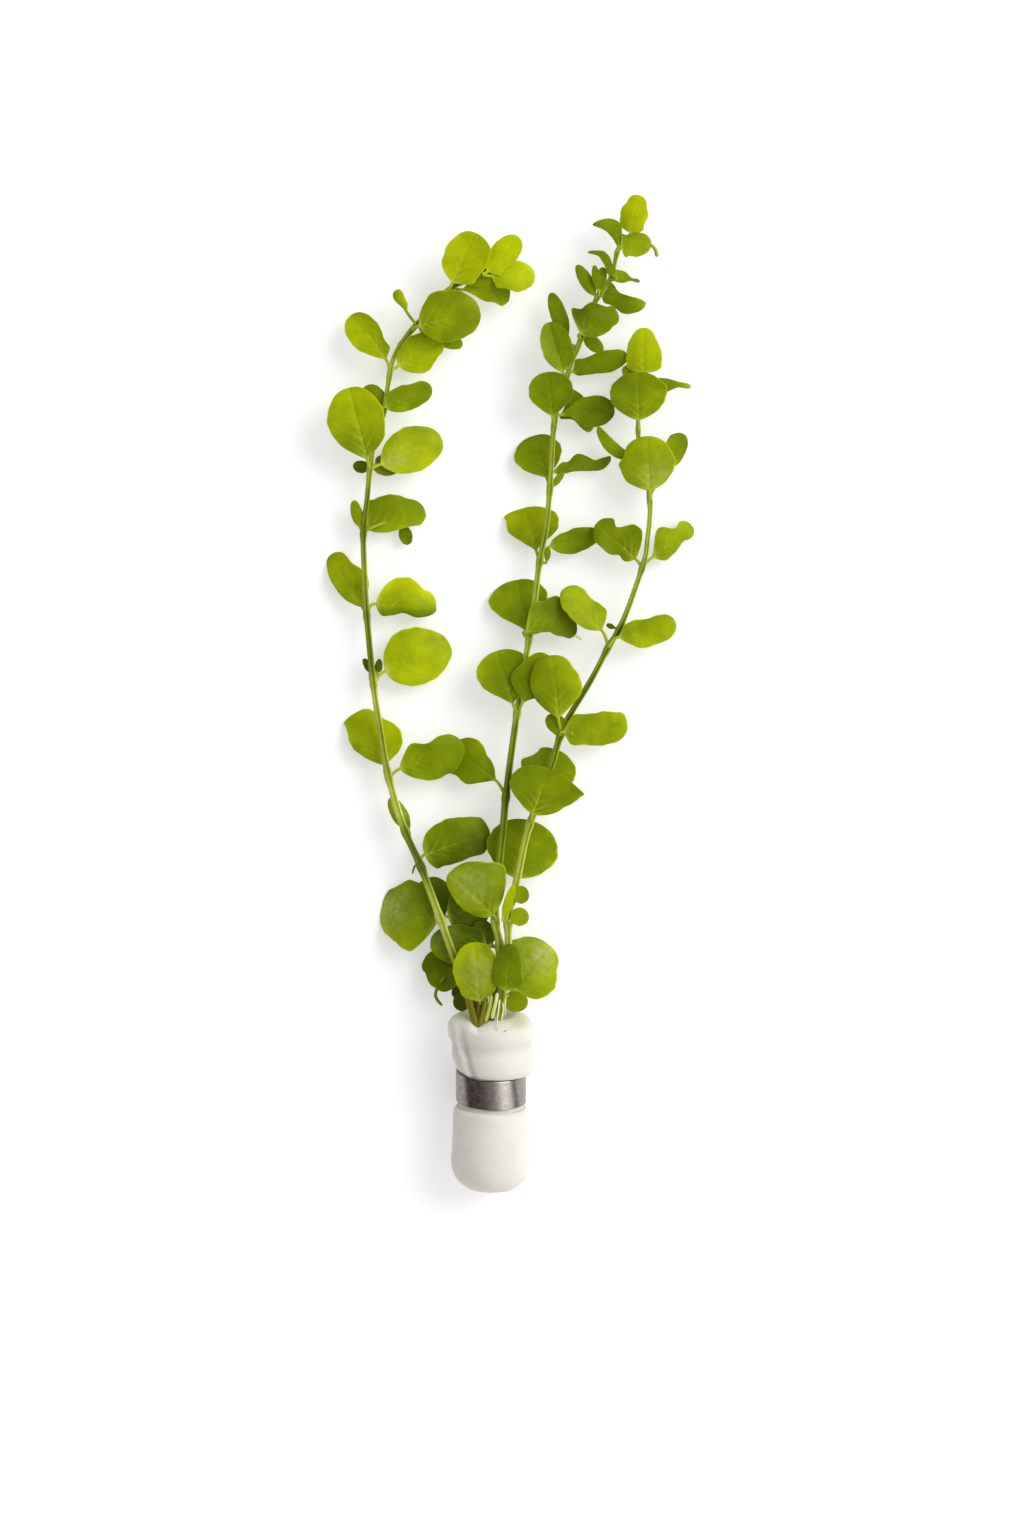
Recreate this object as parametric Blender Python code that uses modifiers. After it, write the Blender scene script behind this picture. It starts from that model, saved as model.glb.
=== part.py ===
"""Creeping jenny: three leafy stems in a foam wrap that a bent metal strip holds, lying on a flat surface.

The bunch lies along +Y with its growing tips away from the wrap. The origin is the middle of the flat
underside of the wrap, and the surface that the bunch lies on is the plane z = 0.
"""
import math
from collections import namedtuple

import bmesh
import bpy
from mathutils import Matrix, Vector

MM = 0.001

# Driving dimensions, in millimetres
GAP = 0.3
STEM_BASE_RADIUS = 1.1
STEM_TIP_RADIUS = 0.65
STEM_STEP = 7.5
SEARCH_STEP = 1.0
LEAF_THICKNESS = 0.5
PETIOLE_RADIUS = 0.42
WRAP_CENTRE_HEIGHT = 8.9
WRAP_FLATNESS = 0.95
STRIP_WIDTH = 7.6
STRIP_THICKNESS = 0.8
STRIP_HALF_WIDTH = 8.75
STRIP_HALF_HEIGHT = 8.3
STRIP_MIDDLE = 15.3
STRIP_TILT = 0.035

# Where the strip's two ends nearly meet, in degrees, and what part of a full turn it makes
STRIP_SEAM = 215.0
STRIP_TURN = 0.99

# How steeply the strip's lower and upper edges lean towards the foot with height, and the wrap's neck under it
STRIP_LEANS = (0.17, 0.25)
NECK_LEAN = 0.25
NECK_LEAN_REACH = 9.0

# How steeply the wrap's mouth leans, from where that begins, and over what length it grows
MOUTH_LEAN = 0.2
MOUTH_LEAN_START = 28.0
MOUTH_LEAN_REACH = 5.0

# The channels in the wrap run out past its mouth to this height y
CHANNEL_END = 46.0

# How many sides and rings the faceted solids have; the wrap's are odd, so that it rests on a facet
LEAF_SIDES = 8
LEAF_RINGS = 9
WRAP_SIDES = 19
STRIP_SEGMENTS = 36

# Where the rings of a leaf lie along its blade; the two before them are on its stalk
BLADE_RINGS = (0.0, 0.09, 0.25, 0.45, 0.65, 0.83, 0.95, 1.0)
BLADE_ROUNDNESS = 0.6

# A blade has its full thickness where its width is over this part of the widest
FULL_THICKNESS_WIDTH = 0.62

# Route of each stem's axis, from its cut end in the wrap to its growing tip: x, y, z in millimetres
STEM_ROUTES = {
    "left": (
        (-3.2, 12.0, 9.5), (-3.2, 22.0, 10.6), (-4.2, 33.5, 11.3), (-6.5, 41.2, 11.5), (-9.8, 50.0, 11.0),
        (-13.0, 58.8, 10.0), (-17.5, 70.8, 8.6), (-21.8, 80.5, 7.6), (-25.5, 92.8, 6.9), (-27.5, 103.8, 6.5),
        (-29.4, 116.2, 6.3), (-31.1, 134.0, 6.2), (-31.8, 147.5, 6.2), (-31.9, 155.0, 6.2), (-31.0, 163.0, 6.3),
        (-30.2, 171.2, 6.5), (-28.8, 178.8, 6.5), (-26.8, 185.0, 6.6), (-25.0, 195.8, 7.0), (-22.8, 201.2, 7.1),
        (-19.0, 206.0, 7.2), (-14.5, 211.0, 7.6), (-10.0, 215.5, 8.2), (-2.2, 218.9, 9.2),
    ),
    "middle": (
        (-0.3, 20.0, 8.6), (-0.2, 32.5, 9.9), (1.5, 43.0, 10.6), (2.2, 51.0, 10.6), (1.0, 57.5, 10.4),
        (1.5, 65.0, 9.9), (3.0, 80.0, 9.1), (3.8, 88.8, 8.6), (5.9, 105.0, 7.9), (8.2, 120.0, 7.4),
        (9.6, 128.0, 7.2), (11.0, 137.5, 7.0), (12.2, 147.5, 6.8), (13.8, 155.5, 6.8), (14.8, 166.2, 6.8),
        (15.9, 182.0, 7.1), (18.8, 192.8, 7.4), (23.0, 204.2, 7.7), (26.0, 212.0, 8.0), (30.0, 218.0, 8.5),
        (31.6, 224.6, 8.9), (33.6, 227.4, 9.2),
    ),
    "right": (
        (2.4, 20.0, 11.2), (2.4, 34.0, 12.3), (3.4, 43.8, 12.9), (4.3, 51.2, 12.9), (4.4, 59.0, 12.2),
        (6.6, 68.0, 11.3), (8.2, 75.8, 10.8), (10.0, 82.5, 10.2), (12.5, 88.8, 9.8), (15.2, 96.2, 9.3),
        (18.2, 105.8, 8.8), (25.2, 117.8, 8.2), (29.2, 125.5, 7.8), (33.0, 132.2, 7.5), (38.1, 146.5, 7.0),
        (39.2, 153.0, 6.8), (39.8, 160.8, 6.6), (38.8, 171.2, 6.4), (36.9, 178.0, 6.4), (37.2, 187.5, 6.5),
        (38.0, 193.0, 6.8),
    ),
}

# The wrap along its length: distance y from the origin, half-width, and how far its middle lies to the right
WRAP_PROFILE = (
    (-10.3, 3.8, 0.3), (-9.5, 5.9, 0.1), (-8.2, 7.6, 0.0), (-6.0, 9.2, 0.0), (-3.0, 9.9, -0.1), (1.0, 9.8, 0.0),
    (6.0, 9.6, 0.0), (9.6, 9.4, 0.0), (10.8, 9.0, 0.0), (11.1, 7.5, 0.0), (19.7, 7.5, 0.0), (20.0, 8.9, 0.5),
    (21.2, 9.9, 0.85), (23.5, 10.4, 0.7), (26.0, 10.05, 0.35), (28.0, 10.5, 0.15), (30.4, 10.8, 0.0),
    (32.3, 10.3, -0.2), (33.5, 8.7, -0.2), (33.7, 5.5, 0.0),
)
WRAP_FOOT = -10.6
WRAP_MOUTH = 32.4

Leaf = namedtuple("Leaf", "name stem node base tip left right widest roll arch fold wave")

# One row a leaf, in millimetres and degrees: its stem, the height y of its node, the base and tip of its
# blade, its half-widths left and right of the midrib, where along it is widest, how far it is rolled (right
# margin down), and in parts of its own size how it arches and folds, and how high its margins wave.
LEAVES = [Leaf(*row) for row in (
    ("leaf_left_01", "left", 40.0, (-7.2, 42.3, 8.6), (-16.8, 47.6, 3.2), 5.2, 5.2, 0.5, 10, 0.05, 0.0, 0.3),
    ("leaf_left_02", "left", 57.2, (-13.6, 57.0, 7.9), (-27.5, 61.0, 0.0), 9.3, 8.4, 0.5, 0, 0.12, 0.0, 0.2),
    ("leaf_left_03", "left", 57.8, (-10.8, 58.4, 7.5), (-0.6, 60.6, 6.4), 6.2, 5.2, 0.45, 0, 0.0, 0.0, 0.2),
    ("leaf_left_04", "left", 70.8, (-16.6, 73.8, 6.6), (-0.5, 80.2, 4.4), 6.6, 4.8, 0.42, 10, 0.08, 0.0, 0.3),
    ("leaf_left_05", "left", 94.5, (-26.9, 96.8, 4.6), (-32.6, 110.6, 0.0), 5.6, 7.2, 0.55, 0, 0.08, 0.0, 0.2),
    ("leaf_left_06", "left", 93.0, (-22.8, 95.3, 6.6), (-6.8, 101.2, 6.6), 5.0, 5.2, 0.5, 8, 0.05, 0.0, 0.7),
    ("leaf_left_07", "left", 116.5, (-26.4, 119.8, 5.4), (-10.2, 126.2, 3.0), 8.1, 6.4, 0.45, 0, 0.05, 0.0, 0.2),
    ("leaf_left_08", "left", 133.5, (-32.4, 136.0, 4.4), (-40.4, 149.2, 0.0), 3.4, 5.9, 0.5, 0, 0.06, 0.0, 0.3),
    ("leaf_left_09", "left", 134.0, (-28.0, 136.4, 5.8), (-13.7, 135.4, 3.4), 7.4, 2.9, 0.45, 8, 0.08, -0.2, 0.5),
    ("leaf_left_10", "left", 154.0, (-30.4, 156.0, 4.2), (-16.4, 159.6, 3.0), 6.8, 2.6, 0.42, 0, 0.05, 0.0, 0.2),
    ("leaf_left_11", "left", 170.6, (-31.0, 172.8, 8.4), (-35.4, 190.4, 10.6), 7.4, 6.9, 0.55, 0, 0.0, 0.12, 0.1),
    ("leaf_left_12", "left", 170.2, (-27.6, 171.6, 5.9), (-12.3, 178.0, 4.4), 6.2, 5.3, 0.5, 0, 0.05, 0.0, 0.1),
    ("leaf_left_13", "left", 184.0, (-26.6, 185.8, 8.6), (-14.8, 190.6, 7.4), 3.9, 3.6, 0.5, 28, 0.0, 0.0, 0.3),
    ("leaf_left_14", "left", 193.5, (-26.4, 198.0, 7.0), (-35.2, 209.4, 4.6), 4.8, 6.0, 0.58, 0, 0.05, 0.0, 0.1),
    ("leaf_left_15", "left", 194.2, (-23.2, 196.2, 5.6), (-12.2, 202.6, 5.6), 4.9, 4.9, 0.5, 0, 0.0, 0.0, 0.1),
    ("leaf_left_16", "left", 205.0, (-18.0, 206.0, 9.0), (-2.7, 209.6, 9.4), 7.2, 5.9, 0.48, 0, 0.05, 0.0, 0.1),
    ("leaf_left_17", "left", 214.6, (-7.4, 215.2, 6.9), (4.6, 213.0, 5.0), 4.0, 2.0, 0.6, 30, 0.08, 0.0, 0.2),
    ("leaf_left_18", "left", 214.8, (-9.6, 216.6, 10.2), (-3.8, 228.8, 12.4), 6.1, 6.5, 0.52, 0, 0.0, 0.0, 0.1),
    ("leaf_left_19", "left", 218.8, (0.0, 220.4, 9.3), (7.0, 228.0, 9.6), 3.4, 3.4, 0.58, 0, 0.0, 0.0, 0.1),
    ("leaf_left_20", "left", 218.8, (0.0, 218.4, 9.0), (11.0, 218.4, 7.6), 3.8, 3.9, 0.58, 0, 0.05, 0.0, 0.1),
    ("leaf_middle_01", "middle", 35.0, (-2.8, 37.4, 13.6), (-4.2, 52.2, 14.6), 5.9, 5.9, 0.52, 0, 0.0, 0.0, 0.1),
    ("leaf_middle_02", "middle", 50.8, (-1.0, 51.0, 9.0), (-15.2, 51.8, 8.6), 5.0, 5.0, 0.5, 0, 0.0, 0.0, 0.2),
    ("leaf_middle_03", "middle", 57.0, (0.6, 58.9, 12.4), (-10.4, 69.4, 12.6), 4.2, 8.8, 0.47, 0, 0.0, 0.0, 0.1),
    ("leaf_middle_04", "middle", 88.2, (1.2, 92.4, 7.0), (-9.6, 101.2, 3.2), 5.2, 5.3, 0.58, 0, 0.0, 0.0, 0.3),
    ("leaf_middle_05", "middle", 109.2, (5.0, 111.4, 9.8), (1.4, 124.8, 7.2), 6.7, 4.8, 0.62, 0, 0.0, 0.0, 0.1),
    ("leaf_middle_06", "middle", 109.6, (7.8, 111.6, 9.9), (13.8, 124.0, 10.4), 4.2, 4.4, 0.6, 0, 0.0, 0.0, 0.2),
    ("leaf_middle_07", "middle", 127.4, (8.7, 129.8, 5.2), (6.6, 142.9, 0.0), 8.0, 6.8, 0.62, 0, 0.06, 0.0, 0.1),
    ("leaf_middle_08", "middle", 127.8, (11.0, 130.6, 9.2), (21.8, 130.6, 5.4), 6.8, 2.0, 0.5, 10, 0.0, 0.0, 0.3),
    ("leaf_middle_09", "middle", 147.0, (11.4, 149.6, 4.8), (8.4, 161.0, 0.0), 5.7, 7.6, 0.64, 0, 0.06, 0.0, 0.1),
    ("leaf_middle_10", "middle", 147.2, (14.8, 151.0, 5.4), (27.0, 154.2, 3.6), 3.6, 3.4, 0.5, 30, 0.0, 0.0, 0.3),
    ("leaf_middle_11", "middle", 165.6, (13.9, 168.4, 5.0), (10.9, 179.2, 0.0), 6.5, 5.6, 0.55, 0, 0.06, 0.0, 0.1),
    ("leaf_middle_12", "middle", 166.0, (17.4, 170.4, 5.8), (30.2, 173.2, 4.6), 3.4, 2.6, 0.5, 42, 0.0, 0.0, 0.4),
    ("leaf_middle_13", "middle", 181.0, (15.4, 183.2, 9.4), (14.2, 194.4, 9.6), 5.4, 5.9, 0.58, 0, 0.0, 0.0, 0.1),
    ("leaf_middle_14", "middle", 181.8, (18.9, 183.4, 6.6), (31.0, 185.4, 4.4), 4.2, 3.9, 0.6, 15, 0.0, 0.0, 0.2),
    ("leaf_middle_15", "middle", 192.4, (18.0, 194.4, 9.4), (14.4, 206.8, 9.4), 3.9, 4.1, 0.5, 10, 0.0, 0.3, 0.1),
    ("leaf_middle_16", "middle", 193.0, (21.4, 194.8, 7.2), (34.2, 198.8, 5.8), 3.2, 3.2, 0.58, 30, 0.0, 0.0, 0.2),
    ("leaf_middle_17", "middle", 202.6, (22.0, 204.9, 9.9), (32.2, 208.4, 9.4), 5.0, 4.0, 0.3, 10, 0.0, 0.0, 0.2),
    ("leaf_middle_18", "middle", 212.6, (28.5, 213.3, 7.8), (38.8, 211.6, 6.0), 2.6, 3.2, 0.55, 25, 0.0, 0.0, 0.2),
    ("leaf_middle_19", "middle", 224.4, (33.6, 225.6, 7.6), (40.4, 226.6, 7.4), 3.1, 3.1, 0.5, 0, 0.0, 0.0, 0.1),
    ("leaf_middle_20", "middle", 227.4, (34.8, 229.0, 9.8), (36.8, 238.4, 10.8), 3.5, 3.5, 0.55, 0, 0.0, 0.0, 0.1),
    ("leaf_right_01", "right", 37.5, (5.6, 40.2, 8.9), (14.6, 51.2, 7.0), 8.4, 8.6, 0.5, 0, 0.0, 0.0, 0.1),
    ("leaf_right_02", "right", 38.0, (3.6, 40.0, 15.0), (4.9, 51.8, 15.4), 3.4, 3.4, 0.5, 0, 0.0, 0.0, 0.1),
    ("leaf_right_03", "right", 64.0, (6.0, 68.0, 7.2), (9.8, 82.4, 6.4), 9.2, 9.2, 0.5, 0, 0.0, 0.0, 0.1),
    ("leaf_right_04", "right", 81.4, (10.4, 83.8, 12.2), (14.6, 95.4, 12.2), 8.4, 10.0, 0.55, 0, 0.0, 0.0, 0.1),
    ("leaf_right_05", "right", 87.6, (12.6, 90.6, 7.2), (15.4, 100.8, 5.6), 7.0, 7.4, 0.5, 0, 0.0, 0.0, 0.1),
    ("leaf_right_06", "right", 104.2, (16.8, 108.0, 10.8), (15.2, 123.6, 12.6), 6.1, 6.3, 0.55, 0, 0.0, 0.0, 0.1),
    ("leaf_right_07", "right", 103.6, (19.2, 104.6, 10.0), (34.2, 106.0, 6.2), 4.8, 4.6, 0.55, 20, 0.0, 0.0, 0.3),
    ("leaf_right_08", "right", 125.8, (27.6, 130.0, 8.0), (18.0, 140.2, 8.0), 3.9, 4.8, 0.5, 20, 0.0, 0.0, 0.3),
    ("leaf_right_09", "right", 125.2, (31.8, 128.2, 9.2), (46.4, 131.4, 6.2), 4.6, 4.1, 0.55, 18, 0.0, 0.0, 0.3),
    ("leaf_right_10", "right", 145.4, (36.2, 147.8, 6.8), (26.4, 156.8, 6.4), 5.2, 6.2, 0.52, 0, 0.0, 0.0, 0.3),
    ("leaf_right_11", "right", 145.8, (40.6, 148.4, 6.0), (50.8, 156.4, 0.0), 4.2, 3.2, 0.5, 25, 0.06, 0.0, 0.3),
    ("leaf_right_12", "right", 162.4, (39.6, 164.8, 8.8), (39.0, 178.4, 9.2), 6.9, 6.6, 0.5, 0, 0.0, 0.0, 0.1),
    ("leaf_right_13", "right", 163.4, (43.2, 170.4, 4.6), (48.4, 179.2, 4.6), 3.1, 2.9, 0.5, 18, 0.0, 0.0, 0.1),
    ("leaf_right_14", "right", 180.0, (36.8, 182.4, 8.8), (36.8, 194.4, 9.4), 7.2, 7.2, 0.52, 0, 0.0, 0.0, 0.1),
    ("leaf_right_15", "right", 193.0, (38.1, 194.8, 7.0), (38.3, 205.6, 7.6), 4.3, 4.7, 0.38, 0, 0.0, 0.0, 0.1),
)]

# Colours as sRGB, roughness, metallic
FINISHES = {
    "leaf green": ((0.50, 0.60, 0.03), 0.45, 0.0),
    "stem green": ((0.60, 0.66, 0.18), 0.50, 0.0),
    "white foam": ((0.88, 0.87, 0.83), 0.95, 0.0),
    "dull metal": ((0.44, 0.40, 0.38), 0.42, 1.0),
}


def clear_scene():
    for obj in list(bpy.data.objects):
        bpy.data.objects.remove(obj, do_unlink=True)


def new_collection(name):
    collection = bpy.data.collections.new(name)
    bpy.context.scene.collection.children.link(collection)
    return collection


def linear(value):
    """A linear light value from an sRGB one."""
    return value / 12.92 if value <= 0.04045 else ((value + 0.055) / 1.055) ** 2.4


def finish(part, name):
    """A material of its own for each sub-part, named for the part and its finish."""
    colour, roughness, metallic = FINISHES[name]
    material = bpy.data.materials.new(f"{part} {name}")
    material.use_nodes = True
    shader = material.node_tree.nodes["Principled BSDF"]
    shader.inputs["Base Color"].default_value = (*[linear(c) for c in colour], 1.0)
    shader.inputs["Roughness"].default_value = roughness
    shader.inputs["Metallic"].default_value = metallic
    return material


def add_mesh(name, bm, collection, material):
    mesh = bpy.data.meshes.new(name)
    bm.to_mesh(mesh)
    bm.free()
    mesh.shade_smooth()
    mesh.set_sharp_from_angle(angle=math.radians(50))
    obj = bpy.data.objects.new(name, mesh)
    collection.objects.link(obj)
    if material:
        mesh.materials.append(material)
    return obj


def smooth_route(points, step):
    """Points about one step apart on the Catmull-Rom curve through the route."""
    points = [Vector(p) for p in points]
    ends = [2 * points[0] - points[1]] + points + [2 * points[-1] - points[-2]]
    route = []
    for before, here, there, after in zip(ends, ends[1:], ends[2:], ends[3:]):
        pieces = max(1, round((there - here).length / step))
        for i in range(pieces):
            t = i / pieces
            route.append(0.5 * (2 * here + (there - before) * t
                                + (2 * before - 5 * here + 4 * there - after) * t ** 2
                                + (3 * here - before - 3 * there + after) * t ** 3))
    route.append(points[-1])
    return route


def stem_radius(share):
    """Radius of a stem at a share of its length."""
    return STEM_BASE_RADIUS + (STEM_TIP_RADIUS - STEM_BASE_RADIUS) * share


def stem_at(stem, y):
    """The axis point, the direction and the radius of a stem where it passes the height y."""
    route = smooth_route(STEM_ROUTES[stem], SEARCH_STEP)
    index = min(range(1, len(route)), key=lambda i: abs(route[i].y - y))
    direction = (route[index] - route[index - 1]).normalized()
    return route[index], direction, stem_radius(index / (len(route) - 1))


def stem_curve(name, route, extra, collection):
    """A tube with filled caps along a route, extra wider all round."""
    curve = bpy.data.curves.new(name, "CURVE")
    curve.dimensions = "3D"
    curve.bevel_depth = MM
    curve.bevel_resolution = 2
    curve.use_fill_caps = True
    spline = curve.splines.new("POLY")
    spline.points.add(len(route) - 1)
    for i, (point, place) in enumerate(zip(spline.points, route)):
        point.co = (*(place * MM), 1.0)
        point.radius = stem_radius(i / (len(route) - 1)) + extra
    obj = bpy.data.objects.new(name, curve)
    collection.objects.link(obj)
    return obj


def make_stems(collection):
    for side, points in STEM_ROUTES.items():
        name = f"stem_{side}"
        stem = stem_curve(name, smooth_route(points, STEM_STEP), 0.0, collection)
        stem.data.materials.append(finish(name, "stem green"))


def blade_point(leaf, u, v):
    """Middle of the blade at u from its base to its tip and v across it, -1 at the left margin, 1 at the right."""
    base, tip = Vector(leaf.base), Vector(leaf.tip)
    along = tip - base
    length = along.length
    along.normalize()
    level = along.cross(Vector((0, 0, 1))).normalized()
    side = Matrix.Rotation(math.radians(leaf.roll), 3, along) @ level
    normal = side.cross(along)
    forward = math.log(0.5) / math.log(leaf.widest)
    swell = max(0.0, math.sin(math.pi * u ** forward)) ** BLADE_ROUNDNESS
    half = leaf.right if v > 0 else leaf.left
    rise = leaf.arch * length * math.sin(math.pi * u)
    rise += leaf.fold * abs(v) * half * swell
    rise += leaf.wave * v * v * math.sin(3 * math.pi * u + (0 if v > 0 else 2))
    place = base + along * length * u + side * half * swell * v + normal * rise
    thickness = LEAF_THICKNESS * min(1.0, swell / FULL_THICKNESS_WIDTH)
    place.z = max(place.z, thickness / 2)
    return place, side, normal, thickness


def stalk_start(leaf):
    """Where the stalk begins, a gap off the stem's surface on the side of the blade, and its way out.

    A stalk at the stem's very tip leaves straight towards its blade, so that it doesn't fold back.
    """
    node, direction, radius = stem_at(leaf.stem, leaf.node)
    reach = Vector(leaf.base) - node
    if node != Vector(STEM_ROUTES[leaf.stem][-1]):
        reach -= reach.project(direction)
    outward = reach.normalized()
    return node + outward * (radius + GAP), outward


def leaf_point(leaf, start, outward, ring, across, up):
    """Where a point of the round starting shape goes: rings 0 to 2 on the stalk, the others on the blade."""
    if ring == 0:
        return start
    _, side, normal, _ = blade_point(leaf, 0.0, 0.0)
    spoke = PETIOLE_RADIUS * (side * across + normal * up)
    if ring == 1:
        turn = normal.cross(side).rotation_difference(outward)
        return start + PETIOLE_RADIUS * outward + turn @ spoke
    if ring == 2:
        return Vector(leaf.base) + spoke
    u = BLADE_RINGS[ring - 2]
    place, side, normal, thickness = blade_point(leaf, u, across)
    place = place + normal * up * thickness / 2
    place.z = max(place.z, 0.0)
    return place


def make_leaf(leaf, collection):
    """A thin lens on a short stalk, shaped from a round solid whose poles are the stalk's end and the tip."""
    bm = bmesh.new()
    bmesh.ops.create_uvsphere(bm, u_segments=LEAF_SIDES, v_segments=LEAF_RINGS, radius=1.0)
    start, outward = stalk_start(leaf)
    for vert in bm.verts:
        polar = math.acos(max(-1.0, min(1.0, vert.co.z)))
        ring = round(polar / math.pi * LEAF_RINGS)
        around = math.hypot(vert.co.x, vert.co.y) or 1.0
        vert.co = leaf_point(leaf, start, outward, ring, vert.co.x / around, vert.co.y / around) * MM
    return add_mesh(leaf.name, bm, collection, finish(leaf.name, "leaf green"))


def wrap_point(y, half, shift, cross, up):
    """A point of the wrap's skin: a round ring a little lower than wide, flat where it lies.

    The rings lean and tilt with the strip around the neck, and lean again at the mouth.
    """
    x = shift + cross * half
    height = max(-WRAP_CENTRE_HEIGHT, up * half * WRAP_FLATNESS)
    near_strip = math.exp(-((y - STRIP_MIDDLE) / NECK_LEAN_REACH) ** 2)
    near_mouth = min(1.0, max(0.0, (y - MOUTH_LEAN_START) / MOUTH_LEAN_REACH))
    lean = NECK_LEAN * near_strip + MOUTH_LEAN * near_mouth
    return Vector((x, y - lean * height - STRIP_TILT * near_strip * x, WRAP_CENTRE_HEIGHT + height)) * MM


def make_wrap(collection, cutters):
    """The foam roll, shaped from a round solid with its poles at the foot and in the mouth."""
    rings = len(WRAP_PROFILE) + 1
    bm = bmesh.new()
    bmesh.ops.create_uvsphere(bm, u_segments=WRAP_SIDES, v_segments=rings, radius=1.0)
    for vert in bm.verts:
        polar = math.acos(max(-1.0, min(1.0, vert.co.z)))
        ring = rings - round(polar / math.pi * rings)
        around = math.hypot(vert.co.x, vert.co.y) or 1.0
        if ring in (0, rings):
            y, half, shift = (WRAP_FOOT if ring == 0 else WRAP_MOUTH), 0.0, 0.0
        else:
            y, half, shift = WRAP_PROFILE[ring - 1]
        vert.co = wrap_point(y, half, shift, -vert.co.x / around, vert.co.y / around)
    wrap = add_mesh("foam_wrap", bm, collection, finish("foam_wrap", "white foam"))
    for side, points in STEM_ROUTES.items():
        cutter = channel_cutter(side, points, cutters)
        cut = wrap.modifiers.new(f"channel {side}", "BOOLEAN")
        cut.operation = "DIFFERENCE"
        cut.object = cutter
    return wrap


def channel_cutter(side, points, cutters):
    """A closed tube a gap wider than the stem, along the stretch of the stem that is in the wrap."""
    route = smooth_route(points, STEM_STEP)
    inside = [p for p in route if p.y < CHANNEL_END]
    first = inside[0] - (inside[1] - inside[0]).normalized() * GAP
    curve = stem_curve(f"channel_{side}", [first] + inside, GAP, cutters)
    for i, point in enumerate(curve.data.splines[0].points):
        point.radius = stem_radius(max(0, i - 1) / (len(route) - 1)) + GAP
    depsgraph = bpy.context.evaluated_depsgraph_get()
    mesh = bpy.data.meshes.new_from_object(curve.evaluated_get(depsgraph))
    tube = bmesh.new()
    tube.from_mesh(mesh)
    bmesh.ops.remove_doubles(tube, verts=tube.verts, dist=0.00001)
    tube.to_mesh(mesh)
    tube.free()
    cutter = bpy.data.objects.new(f"cut_{side}", mesh)
    cutter.matrix_world = curve.matrix_world
    cutters.objects.link(cutter)
    bpy.data.objects.remove(curve, do_unlink=True)
    cutter.hide_render = True
    cutter.display_type = "WIRE"
    return cutter


def strip_point(turn, edge):
    """A point of the strip's inner face, at a part of its turn and from its lower edge, -1, to its upper, 1."""
    angle = math.radians(STRIP_SEAM) - turn * 2 * math.pi
    x = (STRIP_HALF_WIDTH - STRIP_THICKNESS) * math.cos(angle)
    height = (STRIP_HALF_HEIGHT - STRIP_THICKNESS) * math.sin(angle)
    below, above = STRIP_LEANS
    lean = (below + above) / 2 + edge * (above - below) / 2
    y = STRIP_MIDDLE + edge * STRIP_WIDTH / 2 - lean * height - STRIP_TILT * x
    return Vector((x, y, WRAP_CENTRE_HEIGHT + height)) * MM


def make_strip(collection):
    """A flat strip bent once around the wrap until its ends nearly meet, its thickness laid on outwards."""
    bm = bmesh.new()
    bmesh.ops.create_grid(bm, x_segments=STRIP_SEGMENTS, y_segments=1, size=1.0)
    for vert in bm.verts:
        vert.co = strip_point((vert.co.x + 1) / 2 * STRIP_TURN, vert.co.y)
    strip = add_mesh("metal_strip", bm, collection, finish("metal_strip", "dull metal"))
    shell = strip.modifiers.new("thickness", "SOLIDIFY")
    shell.thickness = STRIP_THICKNESS * MM
    shell.offset = 1.0
    return strip


def main():
    clear_scene()
    parts = new_collection("creeping_jenny")
    cutters = new_collection("cutters")
    make_stems(parts)
    make_wrap(parts, cutters)
    make_strip(parts)
    for leaf in LEAVES:
        make_leaf(leaf, parts)


main()
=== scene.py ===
"""Creeping jenny: three leafy stems in a foam wrap with a bent metal strip, lying on a pale floor.

Lengths in the tables are in millimetres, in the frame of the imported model: +Y from the wrap to the growing
tips, +Z up from the floor, and the origin in the middle of the wrap's flat underside.
"""
import math
from collections import namedtuple

import bpy
import numpy as np
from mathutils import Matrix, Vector


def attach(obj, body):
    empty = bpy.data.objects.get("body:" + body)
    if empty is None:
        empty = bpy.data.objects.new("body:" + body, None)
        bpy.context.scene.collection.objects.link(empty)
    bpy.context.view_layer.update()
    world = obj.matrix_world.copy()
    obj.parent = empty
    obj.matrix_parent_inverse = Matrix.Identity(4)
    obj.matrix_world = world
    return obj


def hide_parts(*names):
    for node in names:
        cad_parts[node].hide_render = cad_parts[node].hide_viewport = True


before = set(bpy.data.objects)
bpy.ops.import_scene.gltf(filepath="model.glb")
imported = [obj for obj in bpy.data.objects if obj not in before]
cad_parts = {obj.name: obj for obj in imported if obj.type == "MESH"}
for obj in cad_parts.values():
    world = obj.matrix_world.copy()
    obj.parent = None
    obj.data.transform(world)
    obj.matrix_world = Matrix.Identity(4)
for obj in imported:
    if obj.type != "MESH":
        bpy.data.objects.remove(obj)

bl_info = {
    "name": "Creeping Jenny",
    "version": (1, 0, 0),
    "blender": (4, 5, 0),
    "location": "View3D > Sidebar > Creeping Jenny",
    "description": "Builds a bunch of creeping jenny in its foam wrap and metal strip",
    "category": "Add Mesh",
}

MM = 0.001

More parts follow.
